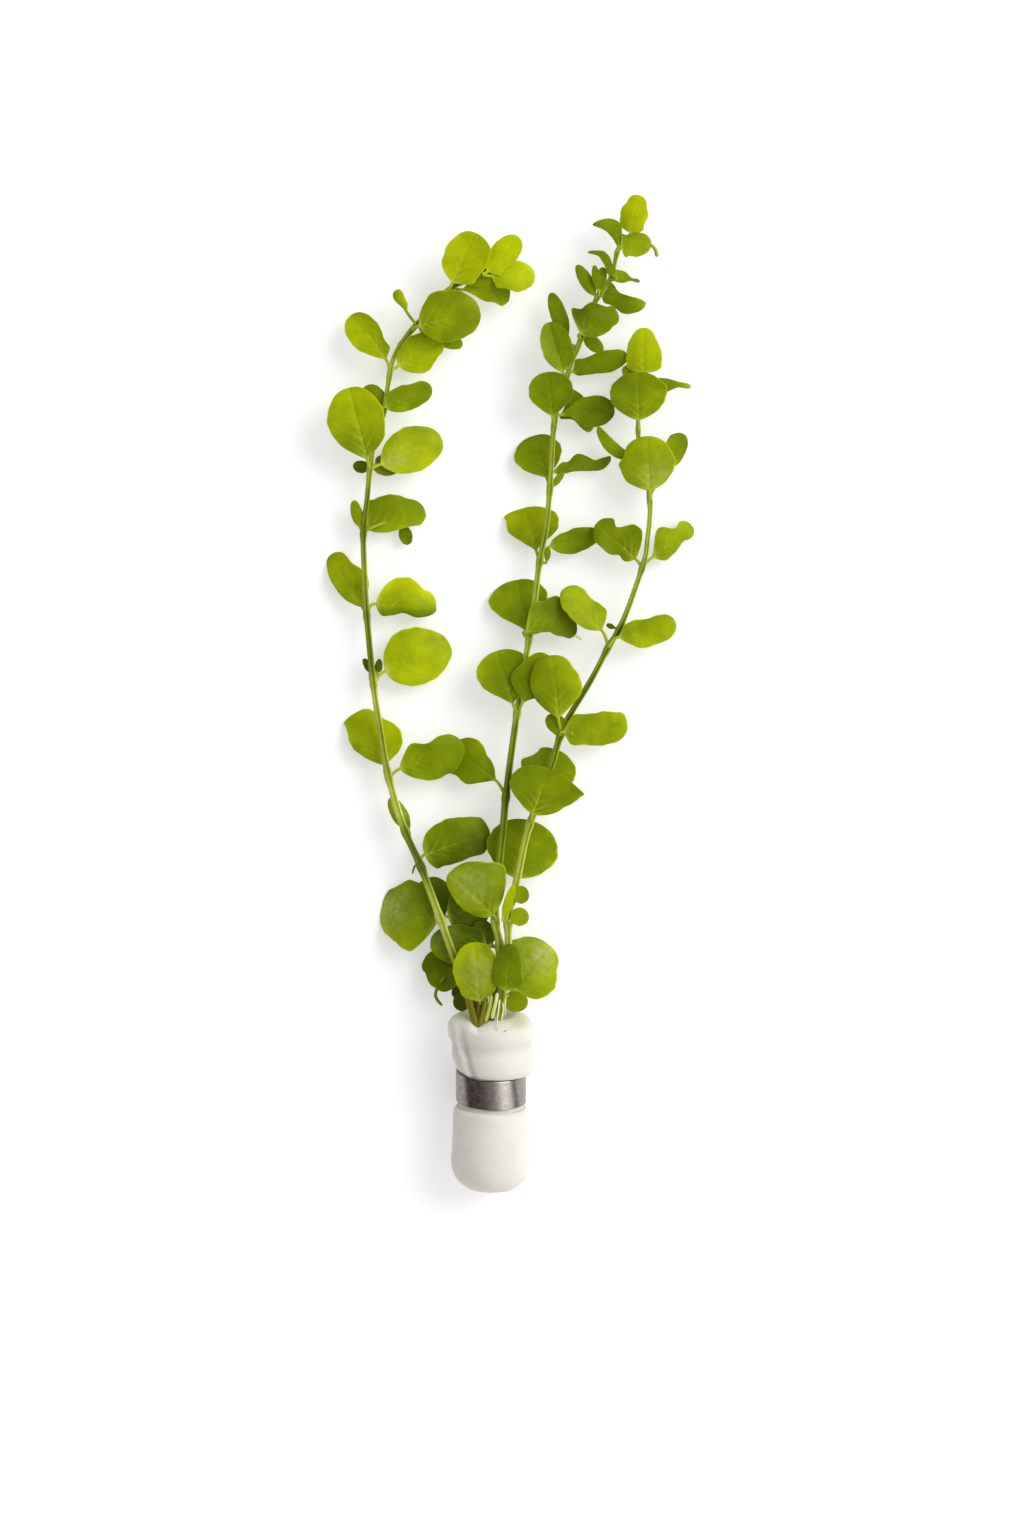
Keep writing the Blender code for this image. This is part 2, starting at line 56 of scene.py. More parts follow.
# Route of each stem's axis, from its cut end in the wrap to its growing tip: x, y, z
STEM_ROUTES = {
    "left": (
        (-3.2, 12.0, 9.5), (-3.2, 22.0, 10.6), (-4.2, 33.5, 11.3), (-6.5, 41.2, 11.5), (-9.8, 50.0, 11.0),
        (-13.0, 58.8, 10.0), (-17.5, 70.8, 8.6), (-21.8, 80.5, 7.6), (-25.5, 92.8, 6.9), (-27.5, 103.8, 6.5),
        (-29.4, 116.2, 6.3), (-31.1, 134.0, 6.2), (-31.8, 147.5, 6.2), (-31.9, 155.0, 6.2),
        (-31.0, 163.0, 6.3), (-30.2, 171.2, 6.5), (-28.8, 178.8, 6.5), (-26.8, 185.0, 6.6),
        (-25.0, 195.8, 7.0), (-22.8, 201.2, 7.1), (-19.0, 206.0, 7.2), (-14.5, 211.0, 7.6),
        (-10.0, 215.5, 8.2), (-2.2, 218.9, 9.2),
    ),
    "middle": (
        (-0.3, 20.0, 8.6), (-0.2, 32.5, 9.9), (1.5, 43.0, 10.6), (2.2, 51.0, 10.6), (1.0, 57.5, 10.4),
        (1.5, 65.0, 9.9), (3.0, 80.0, 9.1), (3.8, 88.8, 8.6), (5.9, 105.0, 7.9), (8.2, 120.0, 7.4),
        (9.6, 128.0, 7.2), (11.0, 137.5, 7.0), (12.2, 147.5, 6.8), (13.8, 155.5, 6.8), (14.8, 166.2, 6.8),
        (15.9, 182.0, 7.1), (18.8, 192.8, 7.4), (23.0, 204.2, 7.7), (26.0, 212.0, 8.0), (30.0, 218.0, 8.5),
        (31.6, 224.6, 8.8), (33.6, 227.4, 8.5),
    ),
    "right": (
        (2.4, 20.0, 11.2), (2.4, 34.0, 12.3), (3.4, 43.8, 12.9), (4.3, 51.2, 12.9), (4.4, 59.0, 12.2),
        (6.6, 68.0, 11.3), (8.2, 75.8, 10.8), (10.0, 82.5, 10.2), (12.5, 88.8, 9.8), (15.2, 96.2, 9.3),
        (18.2, 105.8, 8.8), (25.2, 117.8, 8.2), (29.2, 125.5, 7.8), (33.0, 132.2, 7.5), (38.1, 146.5, 7.0),
        (39.2, 153.0, 6.8), (39.8, 160.8, 6.6), (38.8, 171.2, 6.4), (36.9, 178.0, 6.4), (37.2, 187.5, 6.5),
        (38.0, 193.0, 6.8),
    ),
}

# The wrap along its length: distance y from the origin, half-width, and how far its middle lies to the right
WRAP_PROFILE = (
    (-10.55, 0.2, 0.3), (-10.45, 2, 0.3), (-10.1, 4.4, 0.3), (-9.4, 6, 0.2), (-8.2, 7.6, 0.0),
    (-6.4, 8.9, 0.0), (-3.3, 9.85, -0.1), (1, 9.8, 0.0), (6, 9.6, 0.0), (9.3, 9.45, 0.0), (10.4, 9.2, 0.0),
    (11.05, 8.6, 0.0), (11.3, 7.9, 0.0), (15.3, 7.85, 0.0), (19.3, 7.9, 0.0), (19.7, 8.6, 0.8),
    (20.4, 9.35, 1.0), (21.6, 9.95, 1.0), (23.5, 10.4, 0.7), (25.2, 10.15, 0.4), (26.2, 10, 0.35),
    (27.2, 10.2, 0.2), (28.6, 10.65, 0.1), (30.4, 10.8, 0.0), (32, 10.45, -0.2), (33.2, 9.4, -0.3),
    (33.8, 8, -0.3), (33.9, 6.5, -0.2), (33.4, 5, 0.0), (32.6, 3.6, 0.0), (32.2, 2, 0.0), (32.1, 0.2, 0.0),
)
# How high the wrap's middle lies over the floor, and how much flatter than round the wrap is
WRAP_CENTRE_HEIGHT = 8.9
WRAP_FLATNESS = 0.95
# The wrap's wide, narrow and fine lumps, each with its height, cells around and along, and seed
WRAP_LUMPS = ((0.12, 9, 12, 3), (0.03, 24, 30, 4), (0.012, 90, 80, 5))
# How the wrap's neck and mouth lean towards its foot with height, and over what lengths they do so
NECK_LEAN = 0.25
NECK_LEAN_REACH = 9.0
MOUTH_LEAN = 0.2
MOUTH_LEAN_START = 28.0
MOUTH_LEAN_REACH = 5.0
# The V in the wrap's mouth: its x, how deep it is and how far it reaches left and right, then where the
# brown inside begins and how steeply that edge rises left and right
MOUTH_X = -3.3
NOTCH_DEPTH = 1.4
NOTCH_REACHES = (1.9, 2.9)
BROWN_START = 30.8
BROWN_SLOPES = (-2.05, 0.69)
# The torn edge of the foam sheet: heights y and its x there
TORN_EDGE = ((17.0, -4.5), (19.0, -5.2), (21.0, -6.0), (23.0, -6.7), (25.0, -7.4), (27.0, -7.9),
             (30.0, -8.3), (33.0, -8.6))
# Its ridge and grooves, the x, y and height of its flap, then the y and depth of the crease below the rim
TORN_RIDGE = 0.25
TORN_GROOVE = 0.26
FLAP_X = -8.1
FLAP_Y = 27.4
FLAP_HEIGHT = 0.22
CREASE_Y = 26.0
CREASE_DEPTH = 0.14

# The strip: the y of its middle, how its lower and upper edges lean, how it tilts across, half its outside
# width and height, the angle where its ends nearly meet, what part of a full turn it makes, and how round
# its edges are
STRIP_MIDDLE = 16.15
STRIP_LEANS = (0.24, 0.27)
STRIP_TILT = 0.035
STRIP_HALF_WIDTH = 8.75
STRIP_HALF_HEIGHT = 8.3
STRIP_SEAM = 215.0
STRIP_TURN = 0.99
STRIP_CORNER = 0.18
# How far its edges wave
STRIP_WAVES = 0.08
# Its dents, each layer with its height, cells across and along, and seed, and the part of the cells across
# that the strip's width takes
STRIP_DENTS = ((0.015, 40, 46, 11), (0.012, 90, 110, 12))
DENTS_ACROSS = 0.12
# How dark the strip is across its front, x from left to right: bands that are partly painted reflections
# of the dark left side, the key light and the dark right horizon, and partly real tarnished metal
REFLECTION_BANDS = ((-8.75, 0.45), (-6.6, 0.5), (-5.6, 0.95), (-3.5, 0.92), (-1.5, 0.8), (0.5, 0.62), (2.0, 0.4),
           (2.8, 0.1), (4.8, 0.05), (5.6, 0.65), (6.2, 0.8), (6.9, 0.4), (8.7, 0.3))

# The usual widest, roll, arch, fold and wave of a leaf, where its row ends before them
USUAL_SHAPE = (0.5, 0, 0.0, 0.0, 0.1)
Leaf = namedtuple("Leaf", "name node base tip left right widest roll arch fold wave", defaults=USUAL_SHAPE)

# One row a leaf: its name, which holds its stem's, the height y of its node, the base and tip of its blade,
# its half-widths left and right of the midrib, where along it is widest, its roll in degrees (right margin
# down), how it arches and folds in parts of its length and width, and how high its margins wave
LEAVES = [Leaf(*row) for row in (
    ("left_01", 40.0, (-7.2, 42.3, 8.6), (-16.8, 47.6, 3.2), 5.2, 5.2, 0.5, 10, 0.05, 0.0, 0.3),
    ("left_02", 57.2, (-13.6, 57.0, 7.9), (-27.5, 61.0, 0.0), 8.8, 8.4, 0.5, 0, 0.12, 0.0, 0.2),
    ("left_03", 57.8, (-10.8, 58.4, 7.5), (-0.6, 60.6, 6.4), 6.2, 5.2, 0.45, 0, 0.0, 0.0, 0.2),
    ("left_04", 70.8, (-16.6, 73.8, 6.6), (-0.5, 80.2, 4.4), 6.6, 4.8, 0.42, 10, 0.08, 0.0, 0.3),
    ("left_05", 94.5, (-26.6, 96.2, 4.6), (-32.6, 110.2, 0.0), 5.9, 7.2, 0.55, 0, 0.08, 0.0, 0.2),
    ("left_06", 93.0, (-22.8, 95.3, 6.6), (-6.8, 101.2, 6.6), 5.0, 5.2, 0.5, 8, 0.05, 0.0, 0.7),
    ("left_07", 116.5, (-26.4, 119.8, 5.4), (-10.2, 126.2, 3.0), 8.1, 6.4, 0.45, 0, 0.05, 0.0, 0.2),
    ("left_08", 133.5, (-32.4, 136.0, 4.4), (-40.4, 149.2, 0.0), 3.4, 5.3, 0.5, 0, 0.06, 0.0, 0.3),
    ("left_09", 134.0, (-28.8, 136.6, 5.8), (-13.7, 135.4, 3.4), 7.4, 2.9, 0.47, 8, 0.08, -0.2, 0.5),
    ("left_10", 154.0, (-31.0, 155.8, 4.2), (-16.4, 159.6, 3.0), 6.8, 2.6, 0.44, 0, 0.05, 0.0, 0.2),
    ("left_11", 170.6, (-31.0, 172.8, 8.4), (-35.4, 190.4, 10.6), 7.4, 6.9, 0.55, 0, 0.0, 0.12),
    ("left_12", 170.2, (-27.6, 171.6, 5.9), (-12.3, 178.0, 4.4), 6.2, 5.3, 0.5, 0, 0.05),
    ("left_13", 184.0, (-26.6, 185.8, 8.6), (-14.8, 190.6, 7.4), 3.9, 3.6, 0.5, 28, 0.0, 0.0, 0.3),
    ("left_14", 193.5, (-26.2, 197.6, 7.0), (-35.2, 209.0, 4.6), 4.8, 4.0, 0.58, 0, 0.05),
    ("left_15", 194.2, (-23.2, 196.2, 5.6), (-12.2, 202.6, 5.6), 4.9, 4.9),
    ("left_16", 205.0, (-18.0, 206.0, 9.0), (-2.7, 209.6, 9.4), 7.2, 5.9, 0.48, 0, 0.05),
    ("left_17", 214.6, (-7.4, 215.2, 6.9), (4.6, 213.0, 5.0), 4.6, 1.9, 0.6, 18, 0.08, 0.0, 0.2),
    ("left_18", 214.8, (-9.6, 216.6, 10.2), (-3.8, 228.8, 12.4), 5.1, 5.9, 0.52),
    ("left_19", 218.8, (-1.0, 219.4, 9.3), (7.0, 228.0, 9.6), 3.4, 3.4, 0.58),
    ("left_20", 218.8, (0.0, 218.4, 9.0), (11.0, 218.4, 7.6), 3.8, 3.9, 0.58, 0, 0.05),
    ("middle_01", 35.0, (-2.8, 37.4, 13.6), (-4.2, 52.2, 14.6), 5.9, 5.9, 0.52),
    ("middle_02", 50.8, (-1.0, 51.0, 9.0), (-15.2, 51.8, 8.6), 5.0, 5.0, 0.5, 0, 0.0, 0.0, 0.2),
    ("middle_03", 57.0, (0.6, 58.9, 12.4), (-10.4, 69.4, 12.6), 4.2, 8.8, 0.47),
    ("middle_04", 88.2, (1.2, 92.4, 7.0), (-9.6, 101.2, 3.2), 5.2, 5.3, 0.58, 0, 0.0, 0.0, 0.3),
    ("middle_05", 109.2, (5.6, 111.2, 9.8), (1.4, 124.8, 7.2), 6.7, 4.8, 0.62),
    ("middle_06", 109.6, (7.8, 111.6, 9.9), (13.8, 124.0, 10.4), 4.2, 4.4, 0.6, 0, 0.0, 0.0, 0.2),
    ("middle_07", 127.4, (8.7, 129.8, 5.2), (6.6, 142.9, 0.0), 8.0, 6.8, 0.62, 0, 0.06),
    ("middle_08", 127.8, (8.7, 129.6, 9.8), (21.6, 130.2, 5.4), 7.6, 1.6, 0.5, 5, 0.0, 0.0, 0.2),
    ("middle_09", 147.0, (11.4, 149.6, 4.8), (8.4, 161.0, 0.0), 5.7, 7.6, 0.64, 0, 0.06),
    ("middle_10", 147.2, (14.8, 151.0, 5.4), (27.0, 154.2, 3.6), 3.6, 3.4, 0.5, 30, 0.0, 0.0, 0.3),
    ("middle_11", 165.6, (13.9, 168.4, 5.0), (10.9, 179.2, 0.0), 6.5, 5.6, 0.55, 0, 0.06),
    ("middle_12", 166.0, (15.6, 169.6, 5.6), (30.1, 173.2, 4.6), 3.4, 2.8, 0.5, 42, 0.0, 0.0, 0.4),
    ("middle_13", 181.0, (15.4, 183.2, 9.4), (14.2, 194.4, 9.6), 5.4, 5.9, 0.58),
    ("middle_14", 181.8, (17.3, 183.9, 6.4), (31.0, 185.4, 4.4), 4.2, 3.9, 0.6, 15, 0.0, 0.0, 0.2),
    ("middle_15", 192.4, (18.0, 194.4, 9.4), (14.4, 206.8, 9.4), 3.9, 4.1, 0.5, 10, 0.0, 0.3),
    ("middle_16", 193.0, (20.1, 194.6, 5.8), (34.2, 198.8, 5.8), 3.2, 3.2, 0.58, 30, 0.0, 0.0, 0.2),
    ("middle_17", 203.0, (22.3, 203.9, 9.9), (31.2, 210.0, 9.4), 5.2, 3.5, 0.5, 10, 0.0, 0.0, 0.2),
    ("middle_18", 212.6, (27.3, 214.2, 7.8), (38.8, 211.7, 6.0), 1.2, 3.3, 0.58, 25, 0.0, 0.0, 0.2),
    ("middle_19", 224.4, (32.4, 225.7, 9.9), (40.1, 226.8, 9.2), 3.1, 3.1),
    ("middle_20", 227.4, (34.8, 229.0, 9.1), (36.8, 238.4, 10.8), 3.5, 3.5, 0.55),
    ("right_01", 37.5, (5.6, 40.2, 8.9), (14.6, 51.2, 7.0), 8.4, 8.6),
    ("right_02", 38.0, (3.6, 40.0, 15.0), (4.9, 51.8, 15.4), 3.4, 3.4),
    ("right_03", 64.0, (6.0, 68.0, 7.2), (9.8, 82.4, 6.4), 9.2, 9.2),
    ("right_04", 81.4, (10.4, 83.8, 12.2), (14.6, 95.4, 12.2), 8.4, 10.0, 0.55),
    ("right_05", 87.6, (12.6, 90.6, 7.2), (15.6, 100.4, 5.6), 6.6, 7.4),
    ("right_06", 104.2, (16.8, 108.0, 10.8), (15.2, 123.6, 12.6), 6.1, 6.3, 0.55),
    ("right_07", 103.6, (17.9, 104.5, 10.4), (34.2, 106.0, 6.2), 4.8, 4.6, 0.55, 20, 0.0, 0.0, 0.3),
    ("right_08", 125.8, (27.6, 130.0, 8.0), (18.0, 140.2, 8.0), 3.9, 4.8, 0.5, 20, 0.0, 0.0, 0.3),
    ("right_09", 125.2, (31.8, 128.2, 9.2), (46.4, 131.4, 6.2), 4.6, 4.1, 0.55, 18, 0.0, 0.0, 0.3),
    ("right_10", 145.4, (36.2, 147.8, 6.8), (26.4, 156.8, 6.4), 3.7, 6.2, 0.52, 0, 0.0, 0.0, 0.3),
    ("right_11", 145.8, (40.6, 148.4, 6.0), (50.9, 156.0, 0.0), 4.2, 3.2, 0.5, 25, 0.06, 0.0, 0.3),
    ("right_12", 162.4, (39.6, 164.8, 8.8), (39.0, 178.4, 9.2), 6.9, 6.6),
    ("right_13", 163.4, (43.2, 170.4, 4.6), (48.4, 179.2, 4.6), 3.1, 2.9, 0.5, 18),
    ("right_14", 180.0, (36.8, 182.4, 8.8), (36.8, 194.4, 9.4), 7.2, 7.2, 0.52),
    ("right_15", 193.0, (38.1, 194.4, 7.0), (38.2, 205.6, 7.6), 4.3, 4.7, 0.38),
)]

# The young and half-hidden leaves that have no solids of their own, in the same way
SMALL_LEAVES = [Leaf(*row) for row in (
    ("small_left_01", 205.4, (-18.2, 206.3, 5.2), (-7.2, 201.3, 4.2), 2.5, 2.5, 0.5, 0, 0.05, 0.0, 0.2),
    ("small_left_02", 184.6, (-26.8, 185.0, 6.4), (-31.8, 190.9, 6.0), 2.8, 3.1, 0.55, 0, 0.0, 0.0, 0.2),
    ("small_left_03", 170.4, (-30.5, 170.8, 4.8), (-34.6, 171.4, 4.4), 1.7, 1.5),
    ("small_left_04", 170.2, (-29.8, 171.0, 4.6), (-23.6, 170.0, 4.2), 1.7, 1.7),
    ("small_left_05", 155.0, (-22.5, 157.5, 2.6), (-20.8, 151.6, 2.2), 1.7, 1.7, 0.6, 0, 0.0, 0.0, 0.2),
    ("small_left_06", 155.2, (-32.8, 155.8, 6.2), (-34.4, 162.5, 6.0), 1.5, 1.5),
    ("small_left_07", 117.8, (-29.5, 119.3, 4.2), (-32.0, 122.9, 4.2), 1.1, 1.0, 0.45),
    ("small_left_08", 79.4, (-20.6, 79.8, 5.2), (-25.3, 88.1, 4.8), 2.1, 2.1, 0.5, 0, 0.0, 0.0, 0.2),
    ("small_left_09", 205.8, (-19.0, 206.8, 7.6), (-23.8, 215.0, 7.6), 1.35, 1.35, 0.85),
    ("small_left_10", 36.4, (-5.0, 37.0, 8.6), (-9.5, 37.2, 8.2), 2.4, 2.4),
    ("small_left_11", 171.0, (-28.9, 171.6, 5.6), (-26.8, 173.6, 5.4), 1.1, 1.1),
    ("small_left_12", 118.4, (-28.4, 119.4, 5.8), (-27.9, 122.8, 5.6), 1.0, 1.0, 0.4),
    ("small_left_13", 57.8, (-11.8, 57.4, 6.2), (-16.4, 67.7, 2.4), 5.4, 4.6, 0.6, 0, 0.0, 0.0, 0.2),
    ("small_left_14", 41.6, (-6.3, 41.7, 7.0), (-9.2, 38.0, 6.2), 2.0, 2.0),
    ("small_left_15", 215.6, (-6.2, 216.9, 8.0), (1.2, 219.4, 8.4), 2.4, 2.4),
    ("small_middle_01", 192.6, (17.9, 191.0, 4.8), (24.8, 179.8, 4.0), 3.4, 1.9, 0.5, 0, 0.0, 0.0, 0.2),
    ("small_middle_02", 203.8, (23.2, 204.0, 5.6), (28.0, 199.8, 5.0), 1.8, 1.8),
    ("small_middle_03", 212.6, (26.0, 213.5, 8.4), (21.5, 221.2, 8.2), 1.7, 1.7),
    ("small_middle_04", 213.2, (26.8, 214.8, 9.0), (25.8, 221.0, 9.4), 1.1, 1.1),
    ("small_middle_05", 217.8, (31.2, 217.9, 9.9), (24.3, 224.4, 9.4), 1.1, 1.2),
    ("small_middle_06", 217.6, (30.2, 218.8, 8.0), (37.2, 217.2, 7.4), 1.7, 1.5, 0.32),
    ("small_middle_07", 224.2, (31.8, 225.6, 9.6), (25.5, 231.4, 9.4), 1.6, 2.3),
    ("small_middle_08", 200.6, (19.0, 203.0, 6.4), (15.0, 214.5, 6.0), 2.1, 2.1),
    ("small_middle_09", 165.0, (15.3, 165.8, 6.4), (18.2, 169.8, 5.4), 0.9, 0.9),
    ("small_middle_10", 147.4, (13.9, 147.2, 7.0), (14.4, 150.6, 6.8), 0.8, 0.8),
    ("small_middle_11", 51.2, (0.2, 51.6, 8.4), (-3.4, 57.4, 8.0), 2.8, 2.6, 0.45),
    ("small_middle_12", 213.4, (27.0, 214.6, 8.8), (28.0, 220.6, 8.8), 1.4, 1.4),
    ("small_right_01", 104.8, (20.0, 104.2, 10.0), (13.9, 108.4, 9.2), 2.6, 2.2),
    ("small_right_02", 191.4, (36.5, 192.2, 6.0), (33.2, 196.0, 5.6), 1.7, 2.2),
    ("small_right_03", 191.0, (39.2, 191.5, 6.4), (50.0, 191.0, 6.2), 1.9, 1.9, 0.4),
    ("small_right_04", 171.0, (34.4, 173.2, 5.4), (26.7, 181.0, 5.0), 1.7, 1.6, 0.4),
    ("small_right_05", 36.6, (2.8, 37.8, 10.4), (9.2, 36.8, 10.0), 2.6, 2.7),
    ("small_right_06", 62.4, (4.9, 63.2, 13.4), (9.4, 64.6, 13.6), 2.3, 2.3, 0.55),
    ("small_right_07", 56.6, (4.6, 57.4, 13.6), (9.3, 59.3, 13.2), 2.4, 2.3, 0.55),
    ("small_right_08", 57.2, (3.0, 58.0, 13.2), (5.8, 66.5, 13.6), 1.2, 1.2),
    ("small_right_09", 130.2, (30.9, 130.6, 6.6), (28.9, 131.4, 6.4), 0.7, 0.7),
)]

# How light each leaf is, 0 to 1, with how much lighter its right half and its tip are. This is partly each
# leaf's own green and partly painted light and shade: halves and tips are lighter or darker by how they
# face the light, and leaves lying in shade are darker.
LOOKS = {
    "left_01": (0.2, 0.0, 0.0), "left_02": (0.46, -0.15, 0.2), "left_03": (0.2, -0.1, 0.1),
    "left_04": (0.2, -0.12, -0.05), "left_05": (0.7, 0.12, 0.05), "left_06": (0.48, -0.04, -0.03),
    "left_07": (0.75, 0.05, 0.0), "left_08": (0.6, 0.08, 0.0), "left_09": (0.6, -0.4, 0.0),
    "left_10": (0.5, 0.08, 0.05), "left_11": (0.62, 0.04, 0.13), "left_12": (0.75, 0.1, -0.03),
    "left_13": (0.45, 0.04, 0.0), "left_14": (0.64, -0.1, 0.07), "left_15": (0.74, 0.08, -0.06),
    "left_16": (0.52, 0.0, 0.0), "left_17": (0.56, 0.1, -0.1), "left_18": (0.8, -0.1, 0.0),
    "left_19": (0.93, 0.0, 0.03), "left_20": (0.83, -0.08, 0.1),
    "middle_01": (0.58, -0.03, 0.08), "middle_02": (0.15, -0.1, 0.15), "middle_03": (0.48, -0.03, 0.05),
    "middle_04": (0.4, 0.07, 0.05), "middle_05": (0.4, -0.15, 0.15), "middle_06": (0.38, 0.0, 0.1),
    "middle_07": (0.45, -0.1, 0.04), "middle_08": (0.27, 0.0, -0.17), "middle_09": (0.6, 0.0, 0.08),
    "middle_10": (0.37, 0.0, -0.08), "middle_11": (0.42, -0.06, -0.02), "middle_12": (0.3, 0.03, -0.1),
    "middle_13": (0.35, -0.12, 0.0), "middle_14": (0.28, -0.03, -0.12), "middle_15": (0.38, -0.1, 0.0),
    "middle_16": (0.35, 0.05, 0.1), "middle_17": (0.3, 0.1, 0.1), "middle_18": (0.4, 0.0, 0.2),
    "middle_19": (0.6, 0.08, 0.05), "middle_20": (0.8, 0.12, 0.1),
    "right_01": (0.6, 0.18, 0.2), "right_02": (0.25, 0.03, 0.0), "right_03": (0.45, 0.12, 0.0),
    "right_04": (0.42, 0.07, 0.0), "right_05": (0.42, 0.08, 0.0), "right_06": (0.55, 0.17, 0.0),
    "right_07": (0.55, 0.0, 0.1), "right_08": (0.65, 0.0, 0.0), "right_09": (0.63, 0.1, 0.06),
    "right_10": (0.38, 0.05, 0.0), "right_11": (0.55, 0.0, 0.0), "right_12": (0.62, 0.1, 0.0),
    "right_13": (0.5, 0.0, -0.15), "right_14": (0.45, 0.1, -0.03), "right_15": (0.75, 0.04, 0.08),
    "small_left_01": (0.5, 0, 0), "small_left_02": (0.4, 0, 0), "small_left_03": (0.1, 0, 0),
    "small_left_04": (0.3, 0, 0), "small_left_05": (0.3, 0, 0), "small_left_06": (0.5, 0, 0),
    "small_left_07": (0.1, 0, 0), "small_left_08": (0.55, 0, 0.1), "small_left_09": (0.6, 0.2, 0),
    "small_left_10": (0.1, 0, 0), "small_left_11": (0.05, 0, 0), "small_left_12": (0.05, 0, 0),
    "small_left_13": (0.08, 0, 0.05), "small_left_14": (0.1, 0, 0), "small_left_15": (0.5, 0, 0),
    "small_middle_01": (0.3, 0, 0), "small_middle_02": (0.5, 0, 0), "small_middle_03": (0.4, 0, 0),
    "small_middle_04": (0.4, 0, 0), "small_middle_05": (0.42, 0, 0), "small_middle_06": (0.5, 0, 0),
    "small_middle_07": (0.45, 0, 0), "small_middle_08": (0.35, 0, 0), "small_middle_09": (0.5, 0, 0),
    "small_middle_10": (0.4, 0, 0), "small_middle_11": (0.1, 0, 0), "small_middle_12": (0.3, 0, 0),
    "small_right_01": (0.4, 0, 0), "small_right_02": (0.65, 0, 0), "small_right_03": (0.5, 0, 0.2),
    "small_right_04": (0.5, 0, 0), "small_right_05": (0.45, 0, 0), "small_right_06": (0.5, 0, 0),
    "small_right_07": (0.6, 0, 0), "small_right_08": (0.75, 0, 0), "small_right_09": (0.1, 0, 0),
}

